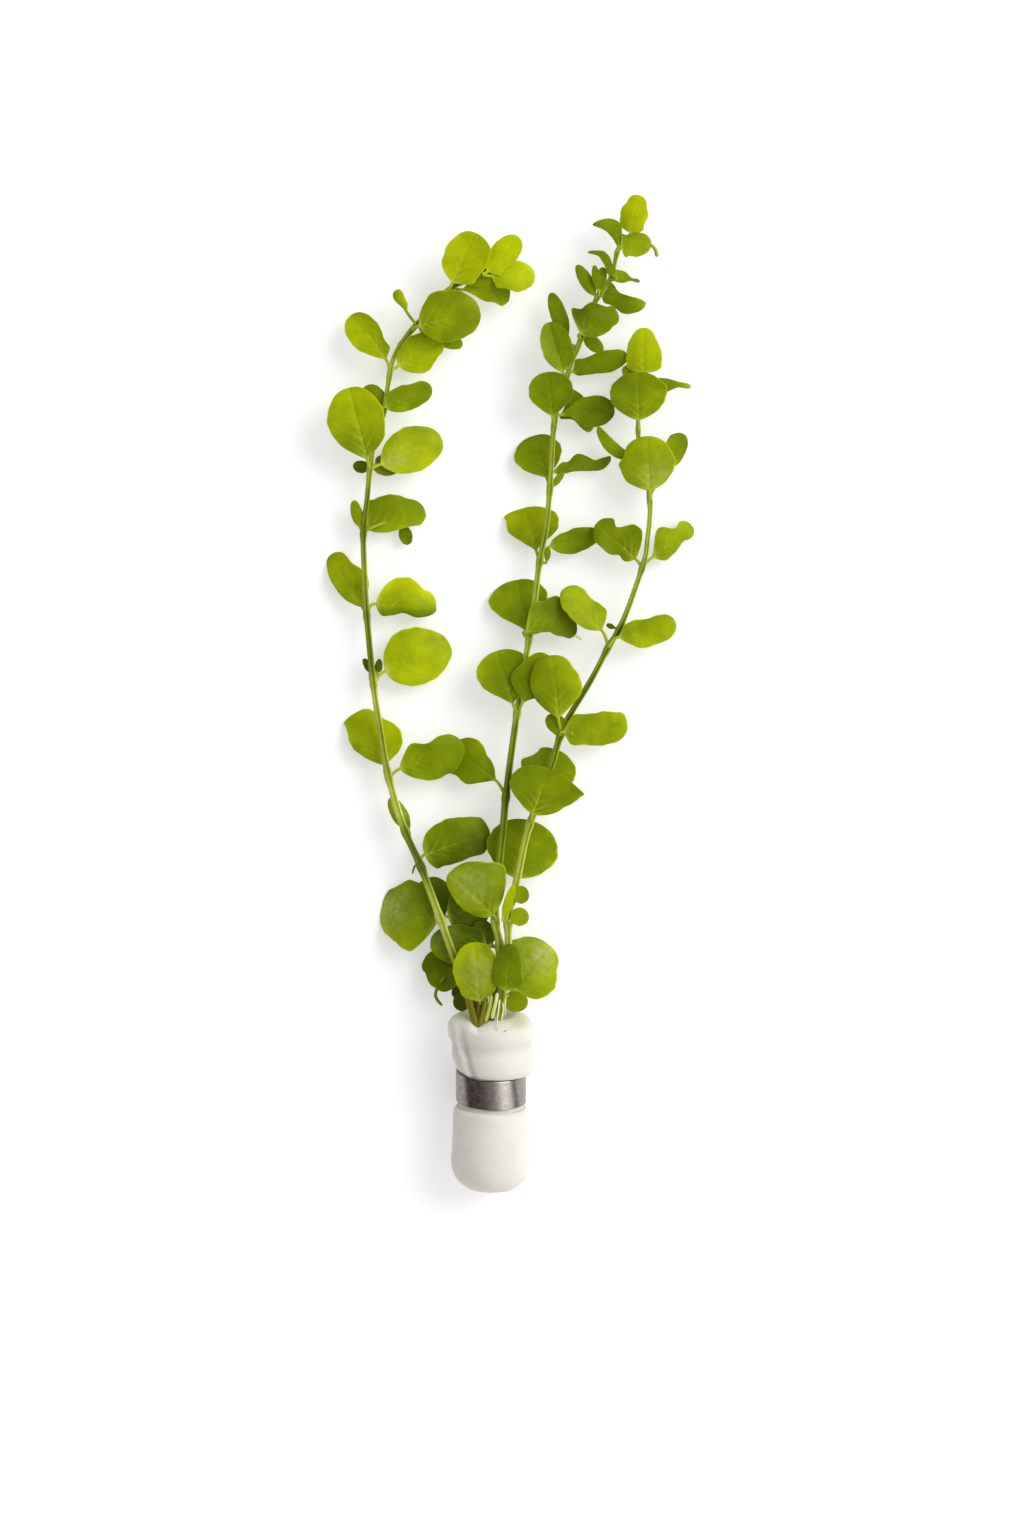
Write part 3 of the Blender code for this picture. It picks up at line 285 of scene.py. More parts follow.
# Single lobes and hollows of a leaf's margin: its side, -1 left or 1 right, then where along the blade, how
# wide in parts of the blade's length, and how far the margin stands out
LOBES = {
    "left_01": ((-1, 0.75, 0.16, -1.3), (-1, 0.15, 0.14, 1.2)),
    "left_02": ((1, 0.78, 0.13, -1.0), (-1, 0.22, 0.18, 1.6), (-1, 0.63, 0.2, -1.4)),
    "left_04": ((-1, 0.95, 0.06, 0.6), (1, 0.8, 0.14, 1.5), (1, 0.08, 0.08, 1.0)),
    "left_05": ((-1, 0.92, 0.1, 1.6), (1, 0.78, 0.24, -2.8), (1, 0.15, 0.2, 2.0)),
    "left_06": ((-1, 0.25, 0.1, 0.8), (-1, 0.5, 0.13, -1.2), (-1, 0.86, 0.1, 0.4), (1, 0.48, 0.2, 0.6),
                (1, 0.75, 0.1, 0.6)),
    "left_07": ((-1, 0.8, 0.15, -0.4), (1, 0.6, 0.2, 0.3)),
    "left_08": ((1, 0.68, 0.16, -1.4), (1, 0.28, 0.13, 0.2)),
    "left_09": ((-1, 0.75, 0.16, -1.3), (1, 0.1, 0.1, 1.0), (1, 0.47, 0.15, -1.2)),
    "left_10": ((-1, 0.08, 0.12, 1.9), (-1, 0.75, 0.15, -0.9), (1, 0.86, 0.12, 1.0)),
    "left_11": ((1, 0.2, 0.15, 0.8),),
    "left_13": ((-1, 0.1, 0.12, 1.0), (-1, 0.6, 0.15, -0.5)),
    "left_14": ((1, 0.4, 0.2, -0.7), (1, 0.72, 0.15, -0.3), (1, 0.1, 0.12, 1.3)),
    "left_15": ((1, 0.75, 0.18, -1.1), (-1, 0.2, 0.18, 1.3)),
    "left_16": ((-1, 0.3, 0.15, 0.4), (1, 0.85, 0.1, 0.4)),
    "left_17": ((-1, 0.86, 0.12, 0.7), (-1, 0.2, 0.15, 1.9), (1, 0.86, 0.1, 0.9), (1, 0.5, 0.15, 0.5)),
    "left_18": ((-1, 0.2, 0.14, 0.7), (1, 0.86, 0.12, 0.9), (1, 0.12, 0.12, 1.5)),
    "left_19": ((-1, 0.14, 0.18, 1.4), (1, 0.1, 0.14, 2.0)),
    "left_20": ((-1, 0.1, 0.14, 2.0), (1, 0.1, 0.14, 1.6)),
    "middle_01": ((-1, 0.1, 0.1, 1.2), (1, 0.12, 0.1, 0.5)),
    "middle_02": ((1, 0.12, 0.12, 1.2),),
    "middle_03": ((1, 0.42, 0.22, 1.9),),
    "middle_04": ((1, 0.42, 0.15, -1.3), (-1, 0.35, 0.15, 0.9), (-1, 0.75, 0.12, 1.0)),
    "middle_05": ((1, 0.82, 0.18, 1.8), (1, 0.25, 0.18, 1.4)),
    "middle_06": ((1, 0.35, 0.15, 1.5), (-1, 0.3, 0.25, 2.3)),
    "middle_08": ((-1, 0.12, 0.14, 2.6), (-1, 0.62, 0.25, 1.1), (1, 0.38, 0.16, -1.6),
                  (1, 0.85, 0.12, 1.0)),
    "middle_09": ((-1, 0.93, 0.1, 1.6), (1, 0.3, 0.15, 1.8), (1, 0.9, 0.14, -1.3)),
    "middle_10": ((-1, 0.05, 0.08, 0.5), (-1, 0.35, 0.1, -0.5), (1, 0.45, 0.12, 0.4)),
    "middle_12": ((-1, 0.28, 0.08, -1.2), (-1, 0.47, 0.08, 0.4), (-1, 0.8, 0.17, -2.9), (1, 0.3, 0.2, -1.1),
                  (1, 0.8, 0.15, 0.6)),
    "middle_14": ((1, 0.4, 0.15, 0.5), (1, 0.2, 0.12, -1.0)),
    "middle_15": ((1, 0.2, 0.15, 0.5),),
    "middle_16": ((-1, 0.12, 0.12, 1.9), (1, 0.06, 0.1, 0.7), (1, 0.4, 0.15, -0.4)),
    "middle_17": ((-1, 0.13, 0.14, 3.2), (-1, 0.85, 0.14, -1.7), (1, 0.9, 0.12, 0.7)),
    "middle_18": ((-1, 0.16, 0.16, 2.8), (1, 0.1, 0.12, 1.0), (1, 0.64, 0.16, 0.6)),
    "middle_19": ((-1, 0.08, 0.12, 1.5), (1, 0.08, 0.12, 1.3)),
    "middle_20": ((-1, 0.12, 0.13, 1.2), (1, 0.12, 0.13, 1.3), (-1, 0.3, 0.12, 0.3), (1, 0.72, 0.15, -0.4),
                  (-1, 0.78, 0.14, -0.5)),
    "right_01": ((1, 0.72, 0.25, -1.9), (1, 0.08, 0.13, 1.4)),
    "right_02": ((-1, 0.2, 0.15, 0.8), (1, 0.2, 0.16, 1.6)),
    "right_03": ((1, 0.35, 0.2, -0.5),),
    "right_04": ((1, 0.38, 0.18, -2.2), (1, 0.75, 0.06, 1.5)),
    "right_05": ((-1, 0.75, 0.16, -1.8), (-1, 0.5, 0.08, 0.5)),
    "right_06": ((1, 0.78, 0.12, -0.4), (1, 0.4, 0.15, 0.8), (-1, 0.9, 0.08, 0.4)),
    "right_07": ((-1, 0.15, 0.12, 1.6), (-1, 0.5, 0.13, -0.5), (-1, 0.93, 0.08, 0.8), (1, 0.13, 0.12, 1.4),
                 (1, 0.86, 0.1, 0.4)),
    "right_08": ((1, 0.55, 0.14, -1.0), (1, 0.18, 0.12, 1.0), (-1, 0.75, 0.12, 0.5)),
    "right_09": ((-1, 0.5, 0.16, -1.5), (-1, 0.12, 0.1, 0.6), (-1, 0.76, 0.14, -0.5), (1, 0.35, 0.15, 0.5)),
    "right_10": ((1, 0.66, 0.13, -3.2), (1, 0.25, 0.18, 1.2), (1, 0.9, 0.1, -0.8), (-1, 0.28, 0.07, -1.0),
                 (-1, 0.8, 0.12, 0.7), (-1, 0.08, 0.08, 0.5)),
    "right_11": ((-1, 0.3, 0.14, 1.4), (-1, 0.6, 0.12, -1.4), (1, 0.66, 0.15, -1.2), (1, 0.18, 0.12, 0.7)),
    "right_12": ((-1, 0.2, 0.12, 0.8), (-1, 0.5, 0.1, 0.4), (-1, 0.68, 0.08, -0.5), (1, 0.55, 0.1, 0.3)),
    "right_13": ((-1, 0.8, 0.15, 0.5),),
    "right_14": ((1, 0.35, 0.15, -0.4), (1, 0.7, 0.12, 0.4)),
    "right_15": ((-1, 0.1, 0.1, 0.6), (1, 0.1, 0.1, 0.6), (1, 0.72, 0.16, -0.5)),
    "small_left_09": ((-1, 0.25, 0.22, 0.4), (1, 0.4, 0.25, 1.2)),
    "small_middle_01": ((1, 0.48, 0.1, 2.8),),
    "small_middle_05": ((-1, 0.25, 0.15, 1.1), (1, 0.3, 0.15, -0.6), (-1, 0.75, 0.15, -0.6),
                        (1, 0.72, 0.12, 0.4)),
    "small_middle_06": ((1, 0.7, 0.2, -0.8), (-1, 0.7, 0.2, -0.9)),
    "small_right_03": ((1, 0.7, 0.2, -1.2), (-1, 0.7, 0.2, -0.5)),
}

# How far the middle of a bent leaf lies to the right of the line from its base to its tip
BENDS = {
    "left_14": 0.5, "left_17": -0.8, "right_11": -0.6, "small_left_09": -0.4,
    "small_middle_05": 1.6, "small_middle_07": 2.4, "small_right_04": -1.0,
}

# How clearly a leaf's pale midrib shows, usually and where it shows more or less
USUAL_RIB = 0.35
RIBS = {
    "left_01": 0.1, "left_02": 0.15, "left_03": 0.15, "left_04": 0.6, "left_05": 0.15, "left_07": 0.15,
    "left_10": 0.5, "left_11": 0.8, "left_12": 0.9, "left_14": 0.5, "left_15": 0.7, "left_16": 0.6,
    "left_18": 1.0,
    "middle_01": 0.6, "middle_03": 0.6, "middle_05": 0.5, "middle_09": 0.6,
    "right_04": 1.0, "right_06": 0.9, "right_07": 0.1, "right_08": 0.6, "right_09": 0.1, "right_10": 0.9,
    "right_12": 1.0, "right_14": 0.6,
}

# Painted sheen: pale patches that stand in for glare on a leaf's top face, where along the blade and
# across it they lie, and how strong they are
PAINTED_SHEEN = {
    "left_02": (0.8, 0.0, 0.8), "left_03": (0.6, -0.3, 0.3), "left_12": (0.15, 0.2, 0.5),
    "middle_01": (0.5, 0.15, 0.5), "middle_02": (0.8, 0.3, 0.3), "middle_03": (0.62, 0.1, 0.5),
    "right_01": (0.8, 0.1, 1.0), "right_12": (0.2, 0.3, 0.5), "small_left_08": (0.5, 0.0, 0.6),
}

# How light each stem is at heights y along the bunch
STEM_TONES = {
    "left": ((35, 0.3), (50, 0.5), (58, 0.75), (66, 0.5), (70, 0.15), (76, 0.15), (80, 0.4), (84, 0.75),
             (92, 0.65), (98, 0.5), (105, 0.45), (112, 0.65), (118, 0.55), (121, 0.2), (130, 0.3),
             (145, 0.5), (156, 0.25), (164, 0.3), (168, 0.55), (190, 0.6), (196, 0.6), (200, 0.35),
             (210, 0.3)),
    "middle": ((40, 0.6), (60, 0.7), (68, 0.4), (85, 0.2), (94, 0.15), (98, 0.3), (106, 0.35), (109, 0.6),
               (118, 0.45), (125, 0.65), (137, 0.6), (146, 0.55), (152, 0.4), (162, 0.55), (175, 0.5),
               (220, 0.5)),
    "right": ((45, 0.7), (66, 0.65), (82, 0.6), (90, 0.35), (100, 0.3), (108, 0.2), (117, 0.2), (121, 0.4),
              (130, 0.3), (136, 0.55), (146, 0.5), (155, 0.6), (180, 0.6)),
}

# Thin pieces: name, route, radius at its start and end, how light it is and how brown
THREADS = (
    ("tendril_left", ((-11.4, 43.4, 8.6), (-12.9, 41.5, 7.4), (-13.9, 38.9, 5.9), (-13.4, 37.3, 5.1),
                      (-12.2, 35.9, 4.6)), 0.42, 0.38, 0.3, 0.2),
    ("tendril_small", ((-17.6, 71.4, 8.4), (-19.0, 71.0, 7.6), (-19.7, 69.0, 6.8)), 0.3, 0.2, 0.2, 0.1),
    ("tail_middle", ((39.4, 226.6, 9.2), (40.6, 225.6, 9.1), (41.2, 224.6, 9.0), (41.5, 223.2, 8.9)),
     0.35, 0.5, 0.55, 0.0),
    ("wisp_middle", ((20.6, 128.7, 5.6), (21.6, 128.4, 5.4), (22.7, 127.6, 5.2)), 0.4, 0.2, 1.0, 0.0),
    ("stub_left", ((-3.4, 30.9, 15.6), (-4.2, 33.6, 15.0), (-5.0, 36.4, 13.8), (-5.5, 38.6, 12.6)),
     0.8, 0.65, 0.35, 0.85),
    ("stub_middle", ((-3.1, 30.9, 15.0), (-3.0, 34.0, 14.0), (-2.9, 38.0, 12.4)), 0.95, 0.9, 0.0, 1.0),
    ("stub_right", ((-2.9, 31.1, 15.8), (-2.2, 33.4, 15.4), (-1.6, 36.0, 14.6), (-1.2, 38.5, 13.4)),
     0.75, 0.6, 0.4, 0.8),
    ("stalk_front", ((-1.4, 32.4, 15.9), (-0.7, 34.6, 15.5), (-0.2, 36.6, 15.0), (0.1, 39.0, 14.2)),
     0.5, 0.5, 0.75, 0.2),
    ("stalk_right", ((0.3, 33.2, 16.2), (0.7, 35.2, 15.9), (1.2, 37.2, 15.4), (1.6, 39.6, 14.6)),
     0.5, 0.45, 0.9, 0.0),
    ("root_front", ((2.2, 38.0, 15.4), (1.9, 35.4, 16.8), (1.6, 33.2, 18.4), (1.7, 30.3, 19.0)),
     0.24, 0.13, 1.0, 0.0),
    ("root_middle", ((2.9, 37.2, 15.2), (3.1, 35.4, 16.2), (2.7, 33.2, 18.3), (2.9, 31.4, 19.0)),
     0.22, 0.12, 1.0, 0.0),
    ("root_right", ((3.6, 38.2, 15.0), (3.5, 36.2, 15.8), (3.7, 34.2, 17.4)), 0.22, 0.15, 0.9, 0.0),
    ("speck", ((3.3, 30.2, 19.15), (3.6, 30.4, 19.15), (3.9, 30.6, 19.1)), 0.13, 0.1, 0.0, 1.0),
)

# How fine the pieces are: steps between two points of a route, points of a stem's route where stalks are
# set, then rings along each piece and points around it
ROUTE_STEPS = 40
STALK_PLACES = 400
STALK_RINGS = 7
BLADE_RINGS = 40
STEM_RINGS = 320
STEM_SIDES = 32
THREAD_RINGS = 36
THREAD_SIDES = 10
WRAP_RINGS = 230
WRAP_SIDES = 300
STRIP_RINGS = 240
STRIP_CORNER_POINTS = 5
STRIP_FACE_POINTS = 25

# Where a blade's points lie from its midrib to its margin, as parts of its half-width
SPREAD = np.array([0.0, 0.02, 0.055, 0.11, 0.19, 0.29, 0.4, 0.52, 0.64, 0.75, 0.85, 0.93, 0.98, 1.0])
# The last ring of a blade, as a part of the half-turn that spaces its rings
LAST_RING = 0.985
# The powers that shape a blade's end and its base, and how the latter changes with the widest place
BLUNT_END = 0.42
BASE_WEDGE = 0.6
WEDGE_CHANGE = 1.4
# How uneven a blade's margin is, in wide and in narrow waves, as parts of its half-width
WIDE_WAVES = 0.015
NARROW_WAVES = 0.01
# The least half-width of a lobed blade, and the part of its swell where a lobe fades out
LEAST_WIDTH = 0.15
LOBE_FADE = 0.35
# Relief of a blade, in parts of its size: the dome or cup, the small waves at its margin, the quilting and
# the groove along its midrib. The groove's width and the rib under it are in millimetres.
DOME = 0.07
RIPPLE = 0.012
QUILTING = 0.006
GROOVE_DEPTH = 0.03
GROOVE_WIDTH = 0.45
RIB_HEIGHT = 0.34
RIB_WIDTH = 0.4
# Side veins: how many leave the midrib, how far they bend towards the tip, and the power of that bend
VEIN_STEPS = 5.5
VEIN_BEND = 0.5
VEIN_CURVE = 1.2
# The part of its light that a leaf lets through
LIGHT_THROUGH = 0.12
# A stalk: its radius, how far before the blade it bends, and how much wider it starts
STALK_RADIUS = 0.37
KNEE_REACH = 1.6
STALK_FLARE = 0.5
# How blunt the ends of a thin piece are
THREAD_BLUNTNESS = 14
# A stem: how much it swells at a node and how far from it, the length of its rounded tip, then its four
# ridges, its lumps and its groove in parts of its radius
NODE_SWELL = 0.3
NODE_REACH = 1.3
TIP_LENGTH = 1.5
STEM_RIDGES = 0.03
STEM_LUMPS = 0.05
STEM_GROOVE = 0.08

# The stage, in metres: how far the floor reaches each way, the point that the camera looks at, and the
# height that its picture takes in there. Its film's height is in millimetres.
FLOOR_REACH = 3
VIEW_POINT = (0.00525, 0.0955, 0.008)
VIEW_HEIGHT = 0.384
FILM_HEIGHT = 36
# The direction of the key light from the bunch, and how wide it looks from there, in degrees
KEY_DIRECTION = (0.64, 0.38, 0.67)
KEY_ANGLE = 38


def srgb(red, green, blue):
    """A linear colour from sRGB levels of 0 to 255."""
    levels = np.array([red, green, blue]) / 255
    light = np.where(levels <= 0.04045, levels / 12.92, ((levels + 0.055) / 1.055) ** 2.4)
    return tuple(float(v) for v in light)


def smooth_step(low, high, value):
    """0 below low, 1 above high, and 3t^2 - 2t^3 between."""
    t = np.clip((value - low) / (high - low), 0.0, 1.0)
    return t * t * (3 - 2 * t)


def bell(value, width):
    """exp(-(value / width)^2)."""
    return np.exp(-(value / width) ** 2)


def lumps(around, along, cells_around, cells_along, seed):
    """Smooth random heights from -1 to 1 over a surface whose two parameters run from 0 to 1.

    A lattice of seeded random numbers, wrapped in the first parameter, is mixed with weights 3t^2 - 2t^3.
    """
    lattice = np.random.default_rng(seed).uniform(-1, 1, (cells_around, cells_along + 2))
    a = np.mod(around, 1.0) * cells_around
    b = np.clip(along, 0.0, 1.0) * cells_along
    i, j = np.floor(a).astype(int), np.floor(b).astype(int)
    s, t = smooth_step(0, 1, a - i), smooth_step(0, 1, b - j)
    i, k = i % cells_around, (i + 1) % cells_around
    low = lattice[i, j] * (1 - s) + lattice[k, j] * s
    high = lattice[i, j + 1] * (1 - s) + lattice[k, j + 1] * s
    return low * (1 - t) + high * t


def lump_layers(around, along, layers):
    """Lumps of several sizes, added up. A layer is a height, the cells around and along, and a seed."""
    around, along = np.broadcast_arrays(around, along)
    return sum(height * lumps(around, along, *cells) for height, *cells in layers)


def smooth_route(points, count):
    """count points evenly spaced along the Catmull-Rom curve through the given points."""
    p = np.array(points, dtype=float)
    p = np.vstack([2 * p[0] - p[1], p, 2 * p[-1] - p[-2]])
    knots = np.linspace(0, len(points) - 1, ROUTE_STEPS * len(points))
    i = np.minimum(knots.astype(int), len(points) - 2)
    t = (knots - i)[:, None]
    a, b, c, d = p[i], p[i + 1], p[i + 2], p[i + 3]
    square, cube = 2 * a - 5 * b + 4 * c - d, 3 * b - a - 3 * c + d
    curve = 0.5 * (2 * b + (c - a) * t + square * t ** 2 + cube * t ** 3)
    steps = np.linalg.norm(np.diff(curve, axis=0), axis=1)
    length = np.concatenate([[0.0], np.cumsum(steps)])
    even = np.linspace(0, length[-1], count)
    return np.stack([np.interp(even, length, curve[:, k]) for k in range(3)], axis=1)


def stem_of(leaf):
    """The name of the stem that carries a leaf: the word before its number."""
    return leaf.name.split("_")[-2]


def unit(vectors):
    """Vectors scaled to length 1, along the last axis."""
    return vectors / np.linalg.norm(vectors, axis=-1, keepdims=True)


def closed_surface(name, rings, uv, fields, material, slot, nodes=()):
    """A closed mesh from rings of points (n, m, 3): quads from ring to ring, and a fan in each end ring.

    uv is (n, m + 1, 2), so that the seam has its own last column. fields holds numbers for the points, in
    shapes that spread to (n, m).
    """
    n, m = rings.shape[:2]
    points = np.vstack([rings.reshape(-1, 3), rings[0].mean(axis=0), rings[-1].mean(axis=0)])
    i, j = np.meshgrid(np.arange(n - 1), np.arange(m), indexing="ij")
    k = (j + 1) % m
    quads = np.stack([i * m + j, i * m + k, (i + 1) * m + k, (i + 1) * m + j], axis=-1).reshape(-1, 4)
    corner_uv = np.stack([uv[i, j], uv[i, j + 1], uv[i + 1, j + 1], uv[i + 1, j]], axis=2).reshape(-1, 4, 2)
    j = np.arange(m)
    k = (j + 1) % m
    first = np.stack([k, j, np.full(m, n * m)], axis=-1)
    last = np.stack([(n - 1) * m + j, (n - 1) * m + k, np.full(m, n * m + 1)], axis=-1)
    first_uv = np.stack([uv[0, j + 1], uv[0, j], (uv[0, j] + uv[0, j + 1]) / 2], axis=1)
    last_uv = np.stack([uv[-1, j], uv[-1, j + 1], (uv[-1, j] + uv[-1, j + 1]) / 2], axis=1)
    fans, fan_uv = np.vstack([first, last]), np.vstack([first_uv, last_uv])
    a, b, c = points[fans[:, 0]], points[fans[:, 1]], points[fans[:, 2]]
    volume = np.einsum("ij,ij->", a, np.cross(b, c))
    for second, third in ((1, 2), (2, 3)):
        a, b, c = points[quads[:, 0]], points[quads[:, second]], points[quads[:, third]]
        volume += np.einsum("ij,ij->", a, np.cross(b, c))
    if volume < 0:
        quads, corner_uv = quads[:, ::-1], corner_uv[:, ::-1]
        fans, fan_uv = fans[:, ::-1], fan_uv[:, ::-1]
    mesh = bpy.data.meshes.new(name)
    mesh.from_pydata((points * MM).tolist(), [], quads.tolist() + fans.tolist())
    layer = mesh.uv_layers.new(name="surface")
    layer.data.foreach_set("uv", np.concatenate([corner_uv.reshape(-1, 2), fan_uv.reshape(-1, 2)]).ravel())
    for field, values in fields.items():
        values = np.broadcast_to(values, (n, m))
        whole = np.concatenate([values.ravel(), [values[0].mean(), values[-1].mean()]])
        mesh.attributes.new(field, "FLOAT", "POINT").data.foreach_set("value", whole.astype(np.float32))
    mesh.shade_smooth()
    mesh.materials.append(material)
    piece = bpy.data.objects.new(name, mesh)
    bpy.context.scene.collection.objects.link(piece)
    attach(piece, "root")
    if nodes:
        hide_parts(*nodes)
    return piece


def tube_rings(route, radius, sides):
    """Rings carried along a path: centre + r (1 + ridges cos 4a) (cos a side + sin a up).

    radius is one column, or one number a point.
    """
    ahead = unit(np.gradient(route, axis=0))
    side = unit(np.cross(ahead, (0.0, 0.0, 1.0)))
    up = np.cross(side, ahead)
    angle = np.linspace(0, 2 * np.pi, sides, endpoint=False)
    reach = radius * (1 + STEM_RIDGES * np.cos(4 * angle))
    spokes = np.cos(angle)[None, :, None] * side[:, None] + np.sin(angle)[None, :, None] * up[:, None]
    return route[:, None] + reach[..., None] * spokes


def even_uv(n, m):
    """Surface coordinates for n rings of m points: x around and y along, both from 0 to 1."""
    along, around = np.meshgrid(np.linspace(0, 1, n), np.linspace(0, 1, m + 1), indexing="ij")
    return np.stack([around, along], axis=-1)


class NodeTree:
    """A tree whose shader nodes are added one by one."""

    def __init__(self, tree):
        self.tree = tree

    def add(self, kind, inputs=None, **settings):
        """A node with its settings, and its inputs set to values or linked from sockets."""
        node = self.tree.nodes.new(f"ShaderNode{kind}")
        for key, value in settings.items():
            setattr(node, key, value)
        for key, value in (inputs or {}).items():
            self.put(node.inputs[key], value)
        return node

    def put(self, socket, value):
        """Links a socket into another, or sets its value."""
        if isinstance(value, bpy.types.NodeSocket):
            self.tree.links.new(value, socket)
        else:
            socket.default_value = value

    def math(self, operation, *values, clamp=False):
        """The result of one Math node."""
        node = self.add("Math", dict(enumerate(values)), operation=operation, use_clamp=clamp)
        return node.outputs[0]

    def times(self, first, second, clamp=False):
        """One value times another."""
        return self.math("MULTIPLY", first, second, clamp=clamp)

    def spread(self, value, low, high, to_low=0.0, to_high=1.0, smooth=False):
        """A value carried from one range to another, held at its ends."""
        kind = "SMOOTHSTEP" if smooth else "LINEAR"
        inputs = {"Value": value, "From Min": low, "From Max": high, "To Min": to_low, "To Max": to_high}
        return self.add("MapRange", inputs, interpolation_type=kind).outputs[0]

    def mix(self, share, first, second):
        """A mix of two colours."""
        node = self.add("Mix", data_type="RGBA")
        for index, value in ((0, share), (6, first), (7, second)):
            value = (*value, 1.0) if isinstance(value, tuple) and len(value) == 3 else value
            self.put(node.inputs[index], value)
        return node.outputs[2]

    def ramp(self, share, stops):
        """A colour ramp through (position, colour) stops."""
        node = self.add("ValToRGB", {"Fac": share})
        while len(node.color_ramp.elements) < len(stops):
            node.color_ramp.elements.new(0.5)
        for element, (position, colour) in zip(node.color_ramp.elements, stops):
            element.position = position
            element.color = (*colour, 1.0)
        return node.outputs[0]

    def noise(self, scale, detail=3.0, stretch=(1.0, 1.0, 1.0), place=None):
        """A noise value on the object's own coordinates, or on a given place, stretched."""
        place = place or self.add("TexCoord").outputs["Object"]
        place = self.add("Mapping", {"Vector": place, "Scale": stretch}).outputs[0]
        return self.add("TexNoise", {"Vector": place, "Scale": scale, "Detail": detail}).outputs[0]

    def field(self, name):
        """The value of a mesh attribute."""
        return self.add("Attribute", attribute_name=name).outputs["Fac"]

    def bump(self, height, distance, strength=1.0, under=None):
        """A bumped normal, distance in millimetres."""
        inputs = {"Height": height, "Distance": distance * MM, "Strength": strength}
        if under is not None:
            inputs["Normal"] = under
        return self.add("Bump", inputs).outputs[0]


class Finish(NodeTree):
    """A material with its main shader and its output."""

    def __init__(self, name):
        self.material = bpy.data.materials.new(name)
        self.material.use_nodes = True
        super().__init__(self.material.node_tree)
        self.shader = self.tree.nodes["Principled BSDF"]
        self.output = self.tree.nodes["Material Output"]

    def shade(self, inputs):
        """Puts a value or a link on each named input of the main shader."""
        for name, value in inputs.items():
            self.put(self.shader.inputs[name], value)


def leaf_finish(settings):
    """Waxy yellow-green leaf: pale midrib and side veins, painted highlights on the margins, painted sheen
    patches, mottling, a duller underside.
    """
    finish = Finish("waxy leaf")
    at = finish.add("UVMap", uv_map="surface").outputs[0]
    parts = finish.add("SeparateXYZ", {"Vector": at})
    along, across = parts.outputs[0], finish.math("ABSOLUTE", parts.outputs[1])
    tone, under, stalk = finish.field("tone"), finish.field("under"), finish.field("stalk")

    # Side veins leave the midrib at even steps, bend towards the tip and fade
    bend = finish.times(finish.math("POWER", across, VEIN_CURVE), VEIN_BEND)
    step = finish.times(finish.math("SUBTRACT", along, bend), VEIN_STEPS)
    near = finish.math("ABSOLUTE", finish.math("SUBTRACT", finish.math("FRACT", step), 0.5))
    vein = finish.spread(near, 0.0, 0.2, 1.0, 0.0, smooth=True)
    vein = finish.times(vein, finish.spread(across, 0.05, 0.7, 1.0, 0.0))
    vein = finish.times(vein, finish.spread(along, 0.3, 0.7, 1.0, 0.25))
    midrib = finish.spread(across, 0.0, 0.045, 1.0, 0.0, smooth=True)
    midrib = finish.times(midrib, finish.spread(along, 0.05, 0.7, 1.0, 0.0, smooth=True))
    midrib = finish.times(midrib, finish.field("rib"))
    fan = finish.times(vein, finish.spread(along, 0.05, 0.5, 0.9, 0.0))
    midrib = finish.math("MULTIPLY_ADD", fan, finish.field("rib"), midrib)
    # The margins are lighter: a painted highlight along each rim
    margin = finish.spread(across, 0.94, 1.0, 0.0, 1.0, smooth=True)

    patches = finish.math("SUBTRACT", finish.noise(190, 3.0), 0.5)
    specks = finish.math("SUBTRACT", finish.noise(1300, 2.0), 0.5)
    tone = finish.math("MULTIPLY_ADD", patches, 0.55, tone)
    tone = finish.math("MULTIPLY_ADD", specks, 0.14, tone)
    tone = finish.math("MULTIPLY_ADD", vein, settings.vein_strength * 0.1, tone)
    tone = finish.math("MULTIPLY_ADD", margin, 0.3, tone, clamp=True)
    dark, middle, light = settings.dark[:], settings.middle[:], settings.light[:]
    colour = finish.ramp(tone, ((0.0, dark), (0.5, middle), (1.0, light)))
    ribs = finish.times(midrib, settings.vein_strength, clamp=True)
    colour = finish.mix(ribs, colour, settings.vein_colour[:])
    colour = finish.mix(finish.times(stalk, 0.5), colour, settings.vein_colour[:])
    # Painted sheen: the pale, mottled patches stand in for glare
    sheen_mottle = finish.spread(finish.noise(700, 3.0), 0.35, 0.65, 0.1, 0.6)
    waxy = finish.times(finish.field("waxy"), sheen_mottle)
    colour = finish.mix(waxy, colour, srgb(206, 217, 142))
    colour = finish.mix(finish.times(under, 0.35), colour, srgb(150, 163, 60))

    grain = finish.noise(2600, 3.0)
    relief = finish.math("MULTIPLY_ADD", vein, -0.5, finish.times(patches, 0.8))
    normal = finish.bump(relief, 0.1, 0.6)
    normal = finish.bump(grain, 0.02, 0.5, under=normal)
    shine = finish.math("MULTIPLY_ADD", under, 0.15, finish.spread(grain, 0.3, 0.7, 0.36, 0.48))
    finish.shade({"Base Color": colour, "Roughness": shine, "Normal": normal, "Specular IOR Level": 0.08})
    glow_colour = finish.mix(0.5, colour, settings.light[:])
    glow = finish.add("BsdfTranslucent", {"Color": glow_colour, "Normal": normal})
    share = finish.add("MixShader", {0: LIGHT_THROUGH, 1: finish.shader.outputs[0], 2: glow.outputs[0]})
    finish.put(finish.output.inputs["Surface"], share.outputs[0])
    return finish.material


